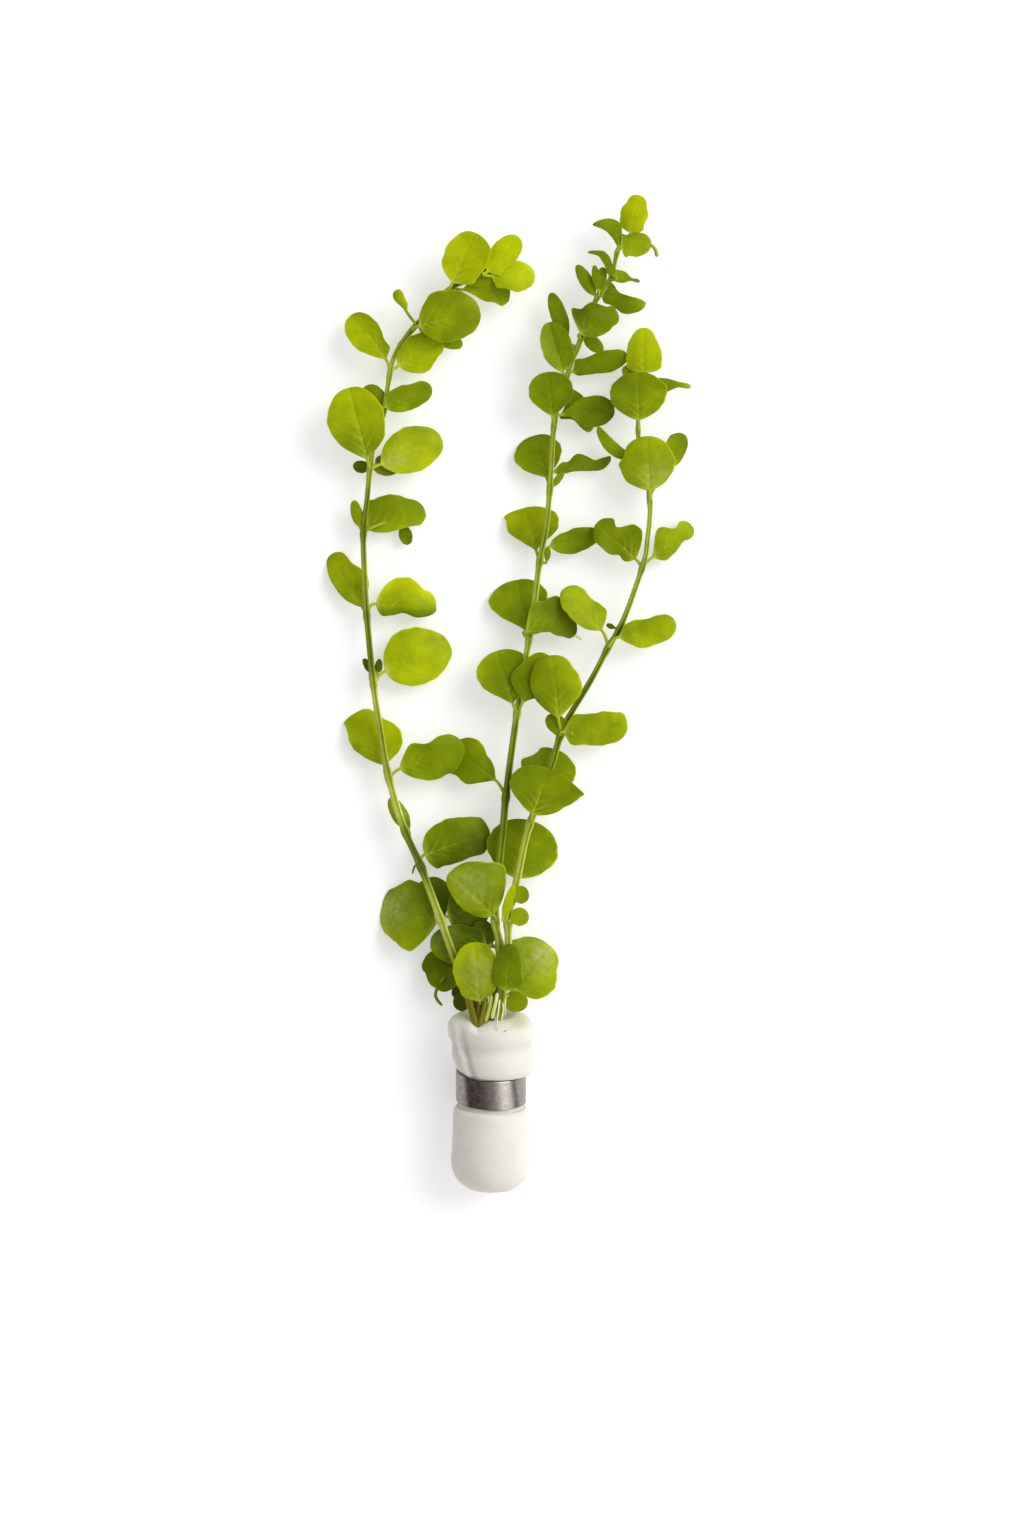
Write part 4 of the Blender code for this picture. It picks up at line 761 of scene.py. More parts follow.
def stem_finish(settings):
    """Fleshy stem: green with lengthwise streaks, light and dark by its tone, browner near the wrap."""
    finish = Finish("fleshy stem")
    at = finish.add("UVMap", uv_map="surface").outputs[0]
    streaks = finish.math("SUBTRACT", finish.noise(9.0, 3.0, (1.0, 0.2, 1.0), at), 0.5)
    mottle = finish.noise(420, 3.0)
    tone = finish.math("MULTIPLY_ADD", streaks, 0.5, finish.field("tone"))
    tone = finish.math("MULTIPLY_ADD", finish.math("SUBTRACT", mottle, 0.5), 0.25, tone, clamp=True)
    stops = ((0.0, settings.shade[:]), (0.45, settings.colour[:]), (0.8, settings.light[:]),
             (1.0, srgb(232, 234, 186)))
    colour = finish.ramp(tone, stops)
    patchy = finish.spread(mottle, 0.3, 0.7, 0.6, 1.0)
    brown = finish.times(finish.field("brown"), patchy, clamp=True)
    colour = finish.mix(brown, colour, settings.brown[:])
    normal = finish.bump(finish.math("ADD", streaks, mottle), 0.08, 0.6)
    shine = finish.spread(mottle, 0.3, 0.7, 0.38, 0.52)
    finish.shade({"Base Color": colour, "Roughness": shine, "Normal": normal, "Specular IOR Level": 0.12})
    return finish.material


def foam_finish(settings):
    """Damp off-white foam: fine pores with painted shade in them, soft blotches, brown inside the mouth, and
    painted light and shade: a highlight (pale), a green-tinted shade of the leaves (damp) and shade (grey).
    """
    finish = Finish("damp foam")
    blotch = finish.noise(130, 3.0)
    fibres = finish.noise(900, 4.0)
    at = finish.add("TexCoord").outputs["Object"]
    cells = finish.add("TexVoronoi", {"Vector": at, "Scale": settings.pores})
    pores = finish.spread(cells.outputs["Distance"], 0.1, 0.5, smooth=True)
    colour = finish.mix(finish.spread(blotch, 0.35, 0.65), settings.colour[:], settings.warm[:])
    paler = finish.times(finish.spread(fibres, 0.45, 0.7), 0.2)
    colour = finish.mix(paler, colour, srgb(235, 232, 226))
    # pale is painted highlight, damp painted green-tinted shade, grey painted shade, brown the mouth's
    # inside
    marks = (("pale", 0.8, srgb(242, 240, 233)), ("damp", 0.7, srgb(192, 196, 142)),
             ("grey", 0.7, srgb(160, 155, 142)), ("brown", 0.95, srgb(92, 84, 30)))
    for name, share, stain in marks:
        strength = finish.times(finish.field(name), share, clamp=True)
        colour = finish.mix(strength, colour, stain)
    # The pores are darker: painted shade inside them
    colour = finish.mix(finish.spread(pores, 0.0, 0.4, 0.1, 0.0), colour, srgb(168, 163, 154))
    normal = finish.bump(fibres, 0.07, 0.3)
    normal = finish.bump(pores, 0.03, 0.3, under=normal)
    finish.shade({"Base Color": colour, "Roughness": 0.95, "Normal": normal, "Specular IOR Level": 0.2,
                  "Sheen Weight": 0.15})
    return finish.material


def strip_finish(settings):
    """Dull grey metal: brown bands across its front, partly painted reflections and partly real tarnished
    metal, brown tarnished clouds, fine marks along the strip and small dents.
    """
    finish = Finish("dull strip")
    at = finish.add("UVMap", uv_map="surface").outputs[0]
    clouds = finish.noise(1100, 5.0)
    marks = finish.noise(60, 4.0, (30.0, 1.0, 1.0), at)
    dents = finish.noise(1700, 2.0)
    # The bands are painted reflections and partly real tarnished metal; the clouds vary them at random
    cloudy = finish.spread(clouds, 0.3, 0.7, -0.12, 0.12)
    tarnish = finish.math("ADD", finish.field("tarnish"), cloudy, clamp=True)
    colour = finish.mix(tarnish, settings.colour[:], settings.dark[:])
    scratched = finish.times(finish.spread(marks, 0.55, 0.75), 0.25)
    colour = finish.mix(scratched, colour, srgb(150, 143, 137))
    normal = finish.bump(dents, 0.03, 0.5)
    normal = finish.bump(marks, 0.01, 0.4, under=normal)
    shine = finish.spread(clouds, 0.3, 0.7, 0.3, 0.42)
    finish.shade({"Base Color": colour, "Roughness": shine, "Normal": normal, "Metallic": 1.0})
    return finish.material


def blade_surface(leaf, settings):
    """Rings of a leaf: a round stalk from the stem's axis to the blade's base, then thin lens sections.

    Along the midrib, u runs from 0 to 1 as (1 - cos) / 2, and across it v runs from -1 to 1. The half-width
    is left or right times sin(pi u^k)^e, with k chosen for the widest place and e falling from about 0.6 at
    the base to 0.42, which makes the end blunt, and times 1 plus small waves sin(5 pi u) and sin(11 pi u).
    Each lobe adds its height times exp(-((u - place) / spread)^2) to its side's half-width, and a bend moves
    the whole section to the right by 4 u (1 - u) of its size. The height over the flat blade is the arch
    sin(pi u), plus the fold |v|, plus waves v^2 sin(3 pi u) and finer ones |v|^3 sin(7 pi u) at the margins,
    plus low quilting between the side veins, less a gentle dome or cup v^2 and a narrow groove along the
    midrib. The thickness falls from the midrib to the margin, and a rib stands out under the midrib. Nothing
    goes below the floor.
    """
    seed = sum(map(ord, leaf.name))
    base, tip = np.array(leaf.base), np.array(leaf.tip)
    length = np.linalg.norm(tip - base)
    along = (tip - base) / length
    level = unit(np.cross(along, (0.0, 0.0, 1.0)))
    lift = np.cross(level, along)
    roll = math.radians(leaf.roll)
    side = level * math.cos(roll) - lift * math.sin(roll)
    normal = np.cross(side, along)

    # Once around a section: over the top from the left margin to the right, and back underneath
    v = np.concatenate([-SPREAD[::-1], SPREAD[1:], SPREAD[-2:0:-1], -SPREAD[:-1]])[None, :]
    top = len(SPREAD) * 2 - 1
    face = np.concatenate([[0.0], np.ones(top - 2), [0.0], -np.ones(v.shape[1] - top)])[None, :]
    u = ((1 - np.cos(np.pi * np.linspace(0.0, LAST_RING, BLADE_RINGS))) / 2)[:, None]

    forward = math.log(0.5) / math.log(leaf.widest)
    wedge = BASE_WEDGE + WEDGE_CHANGE * (leaf.widest - 0.5)
    swell = np.sin(np.pi * u ** forward) ** (wedge + (BLUNT_END - wedge) * smooth_step(0.0, 1.0, u))
    half = np.where(v > 0, leaf.right, leaf.left)
    wide, narrow = np.sin(5 * np.pi * u + seed), np.sin(11 * np.pi * u + 2.3 * seed)
    size = max(leaf.left, leaf.right)
    edge = half * swell * (1 + WIDE_WAVES * wide + NARROW_WAVES * narrow)
    for side_of, place_of, spread, height in LOBES.get(leaf.name, ()):
        lobe = height * bell(u - place_of, spread) * np.clip(swell / LOBE_FADE, 0, 1)
        edge = edge + np.where(v * side_of > 0, lobe, 0.0)
    edge = np.maximum(edge, LEAST_WIDTH * half * swell)
    x = v * edge
    rise = leaf.arch * length * np.sin(np.pi * u) + leaf.fold * np.abs(v) * half * swell
    rise = rise + leaf.wave * v ** 2 * np.sin(3 * np.pi * u + np.where(v > 0, 0.0, 2.0))
    ripple = np.sin(7 * np.pi * u + seed + np.where(v > 0, 1.0, 0.0))
    rise = rise + RIPPLE * size * np.abs(v) ** 3 * ripple
    veins = np.cos(2 * np.pi * VEIN_STEPS * (u - VEIN_BEND * np.abs(v) ** VEIN_CURVE))
    rise = rise + QUILTING * size * (veins * np.abs(v) * (1 - np.abs(v)) * 4 * swell)
    rise = rise - DOME * size * v ** 2 * swell * math.cos(1.7 * seed)
    rise = rise - GROOVE_DEPTH * size * bell(x, GROOVE_WIDTH) * (1 - 0.6 * u)
    thick = settings.thickness / MM * (1 - 0.6 * np.abs(v) ** 2) * np.minimum(1.0, swell / 0.5)
    rib = RIB_HEIGHT * bell(x, RIB_WIDTH) * (1 - u) ** 0.8
    depth = np.where(face > 0, thick / 2, np.where(face < 0, thick / 2 + rib, 0.0))
    blend = smooth_step(0.0, 0.05, u)
    round_x, round_z = v * STALK_RADIUS, np.sqrt(np.clip(1 - v ** 2, 0, 1)) * STALK_RADIUS
    x = np.where(np.abs(x) < np.abs(round_x), round_x, x) + BENDS.get(leaf.name, 0.0) * 4 * u * (1 - u)
    z = blend * (rise + face * depth) + (1 - blend) * face * round_z
    place = base + u[..., None] * along * length + x[..., None] * side + z[..., None] * normal
    lowest = blend * (thick / 2 + face * thick / 2)
    place[..., 2] = np.maximum(place[..., 2], lowest)

    # The stalk leaves the stem's axis level, then bends to meet the blade
    route = smooth_route(STEM_ROUTES[stem_of(leaf)], STALK_PLACES)
    start = route[np.abs(route[:, 1] - leaf.node).argmin()]
    s = np.linspace(0.0, 1.0, STALK_RINGS, endpoint=False)[:, None]
    knee = base - along * min(KNEE_REACH, 0.5 * np.linalg.norm(base - start))
    centre = (1 - s) ** 2 * start + 2 * s * (1 - s) * knee + s ** 2 * base
    ahead = unit(2 * (1 - s) * (knee - start) + 2 * s * (base - knee))
    right = unit(side - ahead * (ahead @ side)[:, None])
    above = np.cross(right, ahead)
    flare = 1 + STALK_FLARE * (1 - s) ** 3
    sideways = (flare * round_x)[..., None] * right[:, None]
    stalk = centre[:, None] + sideways + (flare * face * round_z)[..., None] * above[:, None]
    rings = np.concatenate([stalk, place])

    n, m = rings.shape[:2]
    # The tone is partly the leaf's own green and partly painted light and shade
    level_tone, across, onward = LOOKS[leaf.name]
    # A pale patch on the top face: a painted sheen
    sheen_along, sheen_across, waxy = PAINTED_SHEEN.get(leaf.name, (0.5, 0.0, 0.0))
    patch = waxy * bell(u - sheen_along, 0.28) * bell(v - sheen_across, 0.65)
    fields = {
        "tone": (level_tone, level_tone + across * v + onward * (2 * u - 1)),
        "stalk": (1.0, 1 - smooth_step(0.0, 0.12, u)),
        "waxy": (0.0, patch * (face > 0)),
        "rib": (0.0, RIBS.get(leaf.name, USUAL_RIB)),
    }
    for name, (on_stalk, on_blade) in fields.items():
        below, above = np.full((STALK_RINGS, m), on_stalk), np.broadcast_to(on_blade, (BLADE_RINGS, m))
        fields[name] = np.vstack([below, above])
    fields["under"] = np.broadcast_to((1 - face) / 2, (n, m))
    uv_along = np.concatenate([np.zeros((STALK_RINGS, 1)), u])
    uv_across = np.concatenate([v, v[:, :1]], axis=1)
    uv = np.stack(np.broadcast_arrays(uv_along, uv_across), axis=-1)
    return rings, uv, fields


def stem_surface(side, settings):
    """A stem: a slightly four-ridged tube along its route, swollen at each node and closed to a bud.

    The radius falls evenly from base to tip, times 1 + 0.3 exp(-(distance to a node / 1.3)^2), times
    sqrt(1 - t^2) over the last 1.5 mm, with lumps of 5 per cent. A groove 8 per cent deep runs along it, a
    little right of the top, with painted shade in it. A painted highlight lies to its left, and one along
    each side of the stem.
    """
    route = smooth_route(STEM_ROUTES[side], STEM_RINGS)
    share = np.linspace(0, 1, len(route))
    radius = (settings.base_radius + (settings.tip_radius - settings.base_radius) * share) / MM
    nodes = np.array([leaf.node for leaf in LEAVES + SMALL_LEAVES if stem_of(leaf) == side])
    near = bell(route[:, 1][:, None] - nodes[None, :], NODE_REACH).max(axis=1)
    into_tip = (1 - np.linalg.norm(route - route[-1], axis=1) / TIP_LENGTH).clip(0, 1)
    radius = radius * (1 + NODE_SWELL * near) * np.sqrt(np.clip(1 - into_tip ** 2, 0.02, 1))
    around = np.linspace(0, 1, STEM_SIDES, endpoint=False)[None, :]
    wobble = 1 + lump_layers(around, share[:, None], [(STEM_LUMPS, 5, 60, len(side))])
    groove = bell(around - 0.2 - 0.02 * np.sin(14 * share[:, None]), 0.045)
    rings = tube_rings(route, radius[:, None] * wobble * (1 - STEM_GROOVE * groove), STEM_SIDES)
    height, level = zip(*STEM_TONES[side])
    tone = np.interp(route[:, 1], height, level)[:, None] - 0.05 * near[:, None]
    # Painted shade in the groove, a painted highlight left of it and painted highlights along both sides
    sides_lit = bell(around - 0.04, 0.05) + bell(around - 0.46, 0.05)
    tone = tone - 0.42 * groove + 0.16 * bell(around - 0.32, 0.04) + 0.2 * sides_lit
    brown = smooth_step(52, 34, route[:, 1])[:, None] * 0.5 + 0.1 * near[:, None]
    return rings, even_uv(STEM_RINGS, STEM_SIDES), {"tone": tone, "brown": brown}


def wrap_surface():
    """The foam roll: rings along its profile, leant at the strip and the mouth, flat underneath, uneven.

    Each ring is (shift + half cos a, y, centre + 0.95 half sin a). Its radius gets wide lumps, fine lumps, a
    ridge and a groove where the sheet's torn edge lies, and a crease below the rolled rim. The rim is
    notched where the stems come out, and the mouth is brown inside that V.
    """
    n, m = WRAP_RINGS, WRAP_SIDES
    profile = smooth_route(WRAP_PROFILE, n)
    y, half, shift = (profile[:, k][:, None] for k in range(3))
    around = np.linspace(0, 1, m, endpoint=False)[None, :]
    angle = around * 2 * np.pi
    share = np.linspace(0, 1, n)[:, None]
    cross, up = np.cos(angle), np.sin(angle)
    x = shift + cross * half
    front = smooth_step(-0.2, 0.3, up)

    # Lumps fade out at both ends and under the strip
    bumps = lump_layers(around, share, WRAP_LUMPS)
    open_part = smooth_step(0.0, 3.0, half) * (1 - bell(y - STRIP_MIDDLE, 3.2))

    # The torn edge runs up the front as a ridge between two grooves, with a small flap to its left and a
    # crease below the rim to its right
    torn = np.interp(y, *zip(*TORN_EDGE)) + 0.1 * np.sin(1.9 * y) + 0.05 * np.sin(5.3 * y + 1)
    on_seam = smooth_step(17.5, 20.0, y) * smooth_step(34.0, 31.5, y) * front
    upper = smooth_step(25.5, 28.0, y)
    flap = bell(y - FLAP_Y + 0.5 * (x - FLAP_X), 0.5) * smooth_step(-7.4, -8.4, x) * front
    ridge = bell(x - torn, 0.55) * (1 - 0.6 * upper)
    groove = bell(x - torn - 1.4, 0.8) * (1 - 0.4 * upper) + 0.35 * bell(x - torn + 1.1, 0.6)
    bumps = bumps + on_seam * (TORN_RIDGE * ridge - TORN_GROOVE * groove) + FLAP_HEIGHT * flap
    crease = bell(y - CREASE_Y - 0.08 * x, 1.0) * front * smooth_step(-8.0, -4.0, x)
    bumps = bumps - CREASE_DEPTH * crease

    size = half + bumps * open_part
    height = up * size * WRAP_FLATNESS
    height = np.where(height < -WRAP_CENTRE_HEIGHT, -WRAP_CENTRE_HEIGHT, height)
    x = shift + cross * size
    near_strip = bell(y - STRIP_MIDDLE, NECK_LEAN_REACH)
    near_mouth = np.clip((y - MOUTH_LEAN_START) / MOUTH_LEAN_REACH, 0, 1)
    length = y - (NECK_LEAN * near_strip + MOUTH_LEAN * near_mouth) * height - STRIP_TILT * near_strip * x
    z = WRAP_CENTRE_HEIGHT + height
    reach = np.where(x < MOUTH_X, *NOTCH_REACHES)
    notch = np.clip(1 - np.abs(x - MOUTH_X) / reach, 0, 1) * smooth_step(10.5, 14.5, z)
    length = length - NOTCH_DEPTH * notch * smooth_step(28.0, 33.0, length)
    rings = np.stack([x, length, z], axis=-1)

    # Marks: brown inside the mouth; damp, a painted green-tinted shade of the leaves over the rim;
    # grey, painted shade in the grooves, the crease and the lower left side; pale, a painted highlight
    # on the ridge and the flap
    inside = length - BROWN_START - np.where(x < MOUTH_X, *BROWN_SLOPES) * (x - MOUTH_X)
    brown = smooth_step(0.0, 0.5, inside) * smooth_step(0.4, -0.4, x) * smooth_step(3.0, 6.0, z)
    # damp is painted green-tinted shade of the leaves over the mouth, greener towards the rim
    damp = bell(x - 7.0, 2.4) * bell(length - 32.0, 1.6) * front
    damp = damp + 0.5 * bell(x + 6.5, 2.0) * bell(length - 33.0, 1.6)
    damp = damp + 0.2 * smooth_step(30.5, 34.0, length)
    # grey is painted shade: in the grooves and the crease, and on the lower left side away from the light
    grey = on_seam * (0.7 * groove - 0.4 * ridge) + 0.3 * crease
    grey = grey + 0.2 * smooth_step(-6.5, -9.5, x) * smooth_step(30, 27, y)
    # pale is a painted highlight on the torn edge's ridge and on the flap
    pale = on_seam * bell(x - torn, 0.35) + flap
    fields = {"damp": damp, "grey": np.clip(grey, 0, 1), "brown": brown, "pale": np.clip(pale, 0, 1)}
    return rings, even_uv(n, m), fields


def strip_surface(settings):
    """The bent strip: a flat section with rounded edges carried once around the wrap, with shallow dents.

    The section is a rectangle, width by thickness, with rounded corners. At each part of the turn its inner
    face stands at ((R - T) cos a, (H - T) sin a), with R and H half the outside width and height and T the
    thickness, leant and tilted as the wrap's neck is.
    """
    thickness, width = settings.thickness / MM, settings.width / MM
    edge, corner = width / 2, STRIP_CORNER
    inner, low, high = edge - corner, corner, thickness - corner
    arc = np.linspace(0, np.pi / 2, STRIP_CORNER_POINTS)
    flat = np.linspace(-inner, inner, STRIP_FACE_POINTS)[1:-1]
    sides = (
        (inner + corner * np.cos(arc), high + corner * np.sin(arc)),
        (flat[::-1], np.full(len(flat), thickness)),
        (-inner - corner * np.sin(arc), high + corner * np.cos(arc)),
        (-inner - corner * np.cos(arc), low - corner * np.sin(arc)),
        (flat, np.zeros(len(flat))),
        (inner + corner * np.sin(arc), low - corner * np.cos(arc)),
    )
    across, out = (np.concatenate(column)[None, :] for column in zip(*sides))
    n, m = STRIP_RINGS, across.shape[1]
    turn = np.linspace(0, 1, n)[:, None]
    angle = math.radians(STRIP_SEAM) - turn * STRIP_TURN * 2 * np.pi
    dents = lump_layers((across / width + 0.5) * DENTS_ACROSS, turn, STRIP_DENTS)
    out = out + dents * smooth_step(0.3, 0.8, out / thickness)
    x = (STRIP_HALF_WIDTH - thickness + out) * np.cos(angle)
    height = (STRIP_HALF_HEIGHT - thickness + out) * np.sin(angle)
    below, above = STRIP_LEANS
    lean = (below + above) / 2 + across / edge * (above - below) / 2
    by_edge = np.sign(across) * smooth_step(0.6, 1.0, np.abs(across) / edge)
    wavy = STRIP_WAVES * np.sin(5 * angle + 1) * by_edge
    y = STRIP_MIDDLE + across + wavy - lean * height - STRIP_TILT * x
    # Painted reflection bands across the front, partly real tarnished metal
    tarnish = np.interp(x + 0.12 * across, *zip(*REFLECTION_BANDS))
    rings = np.stack([x, y, WRAP_CENTRE_HEIGHT + height], axis=-1)
    return rings, even_uv(n, m), {"tarnish": tarnish}


class LeafSettings(bpy.types.PropertyGroup):
    """Sizes and colours of the leaves."""

    thickness: bpy.props.FloatProperty(
        name="Thickness", description="How thick a blade is at its midrib", default=0.00036,
        unit="LENGTH")
    vein_strength: bpy.props.FloatProperty(
        name="Veins", description="How strongly the veins show", default=0.7, min=0, max=1, subtype="FACTOR")
    dark: bpy.props.FloatVectorProperty(
        name="Dark", description="Colour of the darkest leaves", default=srgb(76, 95, 0), subtype="COLOR")
    middle: bpy.props.FloatVectorProperty(
        name="Middle", description="Colour of most leaves", default=srgb(134, 153, 0), subtype="COLOR")
    # The light end serves young leaves and also painted light: lit halves and margins
    light: bpy.props.FloatVectorProperty(
        name="Light", description="Colour of the youngest leaves", default=srgb(205, 217, 2),
        subtype="COLOR")
    vein_colour: bpy.props.FloatVectorProperty(
        name="Vein colour", description="Colour of midribs", default=srgb(200, 213, 70), subtype="COLOR")


class StemSettings(bpy.types.PropertyGroup):
    """Sizes and colours of the stems."""

    base_radius: bpy.props.FloatProperty(
        name="Base radius", description="Radius where a stem was cut", default=0.00102, unit="LENGTH")
    tip_radius: bpy.props.FloatProperty(
        name="Tip radius", description="Radius near the growing tip", default=0.0005, unit="LENGTH")
    shade: bpy.props.FloatVectorProperty(
        name="Dark", description="Colour of the darkest stretches", default=srgb(66, 80, 4),
        subtype="COLOR")
    colour: bpy.props.FloatVectorProperty(
        name="Colour", description="Colour of the stems", default=srgb(144, 158, 24), subtype="COLOR")
    light: bpy.props.FloatVectorProperty(
        name="Light", description="Colour of lit stretches", default=srgb(200, 210, 92), subtype="COLOR")
    brown: bpy.props.FloatVectorProperty(
        name="Brown", description="Colour near the cut ends", default=srgb(112, 96, 12), subtype="COLOR")


class WrapSettings(bpy.types.PropertyGroup):
    """Colours of the foam wrap."""

    colour: bpy.props.FloatVectorProperty(
        name="Colour", description="Colour of the foam", default=srgb(231, 227, 218), subtype="COLOR")
    warm: bpy.props.FloatVectorProperty(
        name="Blotches", description="Colour of duller blotches", default=srgb(224, 219, 208),
        subtype="COLOR")
    pores: bpy.props.FloatProperty(
        name="Pores", description="How fine the pores are, in cells a metre", default=2200, min=100)


class StripSettings(bpy.types.PropertyGroup):
    """Sizes and colours of the metal strip."""

    width: bpy.props.FloatProperty(
        name="Width", description="Width of the strip", default=0.0074, unit="LENGTH")
    thickness: bpy.props.FloatProperty(
        name="Thickness", description="Thickness of the strip", default=0.0008, unit="LENGTH")
    colour: bpy.props.FloatVectorProperty(
        name="Colour", description="Colour of the metal", default=srgb(184, 176, 170), subtype="COLOR")
    # The dark colour serves the painted reflection bands and the tarnished clouds
    dark: bpy.props.FloatVectorProperty(
        name="Tarnish", description="Colour where it is tarnished", default=srgb(78, 66, 61),
        subtype="COLOR")


class StageSettings(bpy.types.PropertyGroup):
    """The camera's height and the strength of the light."""

    camera_height: bpy.props.FloatProperty(
        name="Camera height", description="How high the camera hangs over the floor", default=1.2,
        unit="LENGTH")
    key_strength: bpy.props.FloatProperty(
        name="Key light", description="Strength of the soft key light from the upper right",
        default=1.3, min=0)
    floor_glow: bpy.props.FloatProperty(
        name="Floor glow", description="Light that the floor gives off, as a light table does",
        default=0.35, min=0)
    sky_strength: bpy.props.FloatProperty(
        name="Surroundings", description="Strength of the light from all round", default=0.8, min=0)


def build_threads(stem_material):
    """Tendrils, stubs of older stalks and roots, as thin tubes with rounded ends."""
    for name, points, first, last, tone, brown in THREADS:
        route = smooth_route(points, THREAD_RINGS)
        share = np.linspace(0, 1, len(route))
        ends = np.sqrt(np.clip(1 - np.abs(2 * share - 1) ** THREAD_BLUNTNESS, 0.03, 1))
        radius = (first + (last - first) * share) * ends
        rings = tube_rings(route, radius[:, None], THREAD_SIDES)
        uv = even_uv(THREAD_RINGS, THREAD_SIDES)
        closed_surface(name, rings, uv, {"tone": tone, "brown": brown}, stem_material, "stem")


def shared_finish(name, make):
    """The material of that name, made once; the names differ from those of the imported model's own."""
    return bpy.data.materials.get(name) or make()


def grow_leaves(leaves, settings, have_solids):
    """One piece for each leaf, in place of its solid where it has one."""
    material = shared_finish("waxy leaf", lambda: leaf_finish(settings))
    for leaf in leaves:
        name = f"blade_{leaf.name}" if have_solids else leaf.name
        nodes = [f"leaf_{leaf.name}"] if have_solids else []
        closed_surface(name, *blade_surface(leaf, settings), material, "leaf", nodes)


class JENNY_OT_stage(bpy.types.Operator):
    """Lays the pale floor and sets the camera and the lights"""

    bl_idname = "jenny.stage"
    bl_label = "Stage"

    def execute(self, context):
        settings = context.scene.jenny_stage
        scene = context.scene
        mesh = bpy.data.meshes.new("floor")
        corners = [(x * FLOOR_REACH, y * FLOOR_REACH, 0) for x, y in ((-1, -1), (1, -1), (1, 1), (-1, 1))]
        mesh.from_pydata(corners, [], [(0, 1, 2, 3)])
        floor = bpy.data.objects.new("floor", mesh)
        scene.collection.objects.link(floor)
        finish = Finish("floor")
        finish.shade({"Base Color": (0.8, 0.8, 0.8, 1), "Emission Color": (1, 1, 1, 1), "Roughness": 0.9,
                      "Emission Strength": settings.floor_glow, "Specular IOR Level": 0.0})
        mesh.materials.append(finish.material)

        camera = bpy.data.cameras.new("camera")
        camera.sensor_fit = "VERTICAL"
        camera.sensor_height = FILM_HEIGHT
        across, along, level = VIEW_POINT
        camera.lens = FILM_HEIGHT * (settings.camera_height - level) / VIEW_HEIGHT
        eye = bpy.data.objects.new("camera", camera)
        eye.location = (across, along, settings.camera_height)
        scene.collection.objects.link(eye)
        scene.camera = eye
        scene.view_settings.view_transform = "Standard"

        lamp = bpy.data.lights.new("key", "SUN")
        lamp.energy = settings.key_strength
        lamp.angle = math.radians(KEY_ANGLE)
        key = bpy.data.objects.new("key", lamp)
        key.rotation_euler = Vector(KEY_DIRECTION).to_track_quat("Z", "Y").to_euler()
        scene.collection.objects.link(key)

        world = bpy.data.worlds.new("studio")
        scene.world = world
        world.use_nodes = True
        # The light from all round is stronger from the right than from the left
        sky = NodeTree(world.node_tree)
        towards = sky.add("SeparateXYZ", {"Vector": sky.add("TexCoord").outputs["Generated"]})
        light = sky.spread(towards.outputs[0], -0.4, 0.7, 0.6, 1.2, smooth=True)
        background = world.node_tree.nodes["Background"]
        sky.put(background.inputs["Color"], (1, 1, 1, 1))
        sky.put(background.inputs["Strength"], sky.times(light, settings.sky_strength))
        return {"FINISHED"}


class JENNY_OT_stems(bpy.types.Operator):
    """Grows the three stems, with their roots and stubs"""

    bl_idname = "jenny.stems"
    bl_label = "Stems"

    def execute(self, context):
        settings = context.scene.jenny_stems
        material = shared_finish("fleshy stem", lambda: stem_finish(settings))
        for side in STEM_ROUTES:
            surface = stem_surface(side, settings)
            closed_surface(f"{side}_stem", *surface, material, "stem", [f"stem_{side}"])
        build_threads(material)
        return {"FINISHED"}


class JENNY_OT_leaves(bpy.types.Operator):
    """Grows the paired leaves"""

    bl_idname = "jenny.leaves"
    bl_label = "Leaves"

    def execute(self, context):
        grow_leaves(LEAVES, context.scene.jenny_leaves, have_solids=True)
        return {"FINISHED"}


class JENNY_OT_small_leaves(bpy.types.Operator):
    """Grows the young and half-hidden leaves"""

    bl_idname = "jenny.small_leaves"
    bl_label = "Small leaves"

    def execute(self, context):
        grow_leaves(SMALL_LEAVES, context.scene.jenny_leaves, have_solids=False)
        return {"FINISHED"}


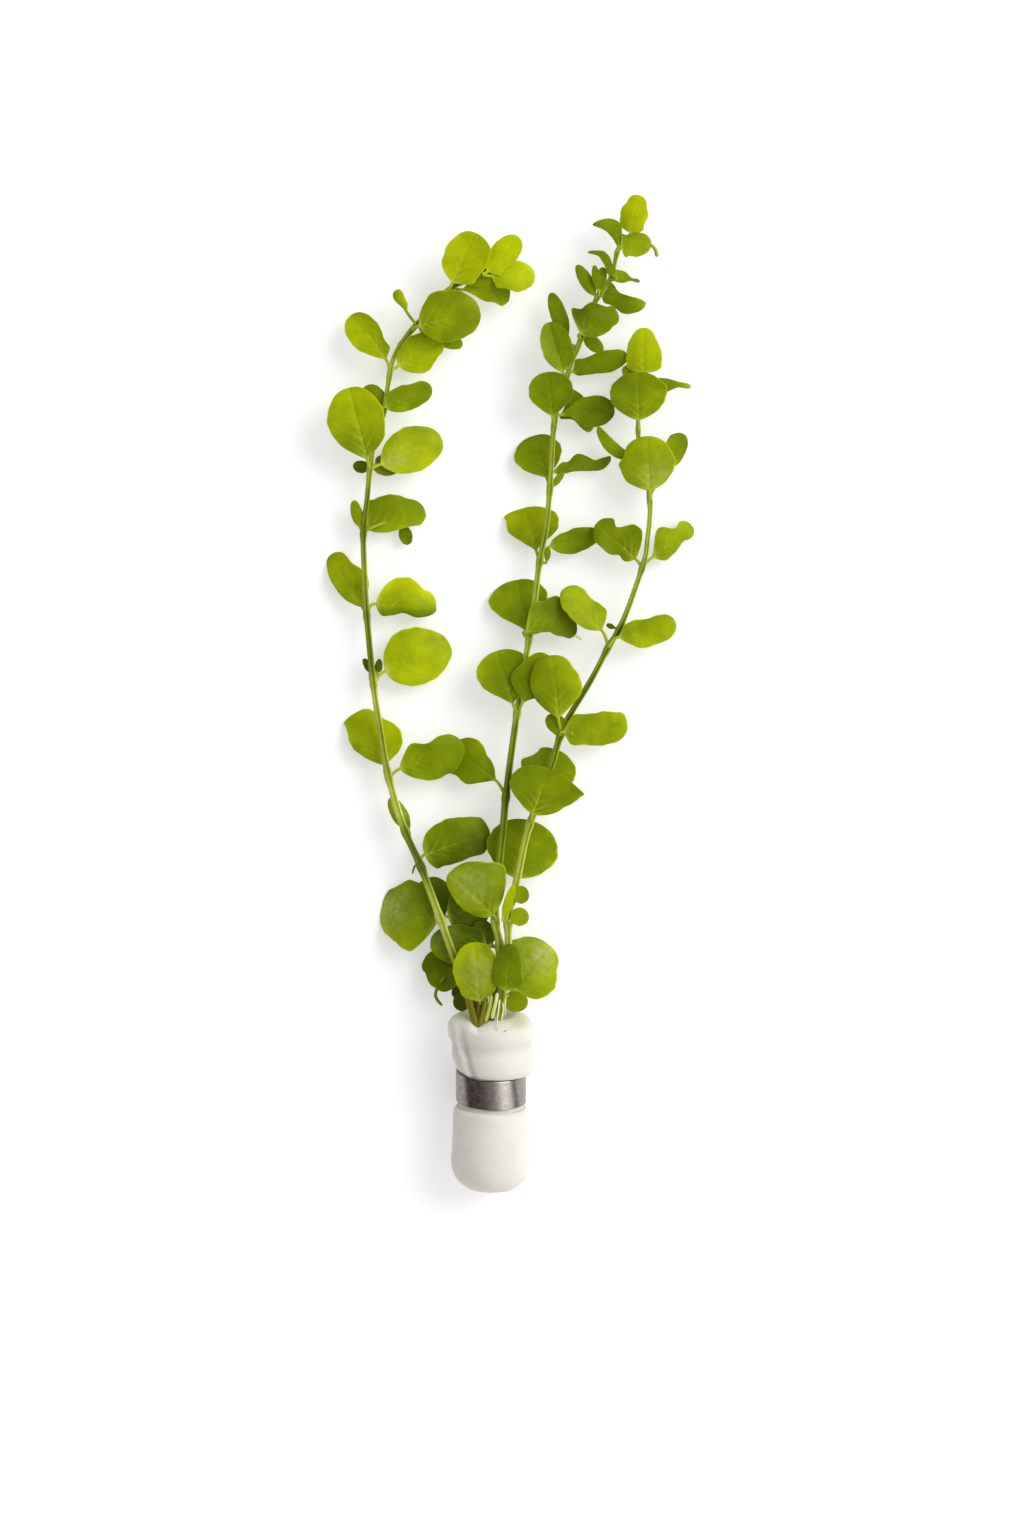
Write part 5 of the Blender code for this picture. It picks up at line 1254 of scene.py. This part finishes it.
class JENNY_OT_wrap(bpy.types.Operator):
    """Rolls the foam wrap"""

    bl_idname = "jenny.wrap"
    bl_label = "Foam wrap"

    def execute(self, context):
        material = shared_finish("damp foam", lambda: foam_finish(context.scene.jenny_wrap))
        wrap = closed_surface("foam_roll", *wrap_surface(), material, "foam", ["foam_wrap"])
        return {"FINISHED"}


class JENNY_OT_strip(bpy.types.Operator):
    """Bends the metal strip around the wrap"""

    bl_idname = "jenny.strip"
    bl_label = "Metal strip"

    def execute(self, context):
        settings = context.scene.jenny_strip
        material = shared_finish("dull strip", lambda: strip_finish(settings))
        closed_surface("bent_strip", *strip_surface(settings), material, "strip", ["metal_strip"])
        return {"FINISHED"}


OPERATORS = (JENNY_OT_stage, JENNY_OT_stems, JENNY_OT_leaves, JENNY_OT_small_leaves, JENNY_OT_wrap,
             JENNY_OT_strip)
SETTINGS = {"jenny_leaves": LeafSettings, "jenny_stems": StemSettings, "jenny_wrap": WrapSettings,
            "jenny_strip": StripSettings, "jenny_stage": StageSettings}


class JENNY_PT_panel(bpy.types.Panel):
    """Lists the steps that build the bunch, with their sizes and colours"""

    bl_idname = "JENNY_PT_panel"
    bl_label = "Creeping Jenny"
    bl_space_type = "VIEW_3D"
    bl_region_type = "UI"
    bl_category = "Creeping Jenny"

    def draw(self, context):
        for operator in OPERATORS:
            self.layout.operator(operator.bl_idname)
        for name, group in SETTINGS.items():
            box = self.layout.box()
            for field in group.__annotations__:
                box.prop(getattr(context.scene, name), field)


def register():
    for kind in (*SETTINGS.values(), *OPERATORS, JENNY_PT_panel):
        bpy.utils.register_class(kind)
    for name, group in SETTINGS.items():
        setattr(bpy.types.Scene, name, bpy.props.PointerProperty(type=group))


def unregister():
    for name in SETTINGS:
        delattr(bpy.types.Scene, name)
    for kind in reversed((*SETTINGS.values(), *OPERATORS, JENNY_PT_panel)):
        bpy.utils.unregister_class(kind)


def main():
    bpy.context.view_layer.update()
    register()
    bpy.ops.jenny.stage()
    bpy.ops.jenny.stems()
    bpy.ops.jenny.leaves()
    bpy.ops.jenny.small_leaves()
    bpy.ops.jenny.wrap()
    bpy.ops.jenny.strip()


if __name__ == "__main__":
    main()
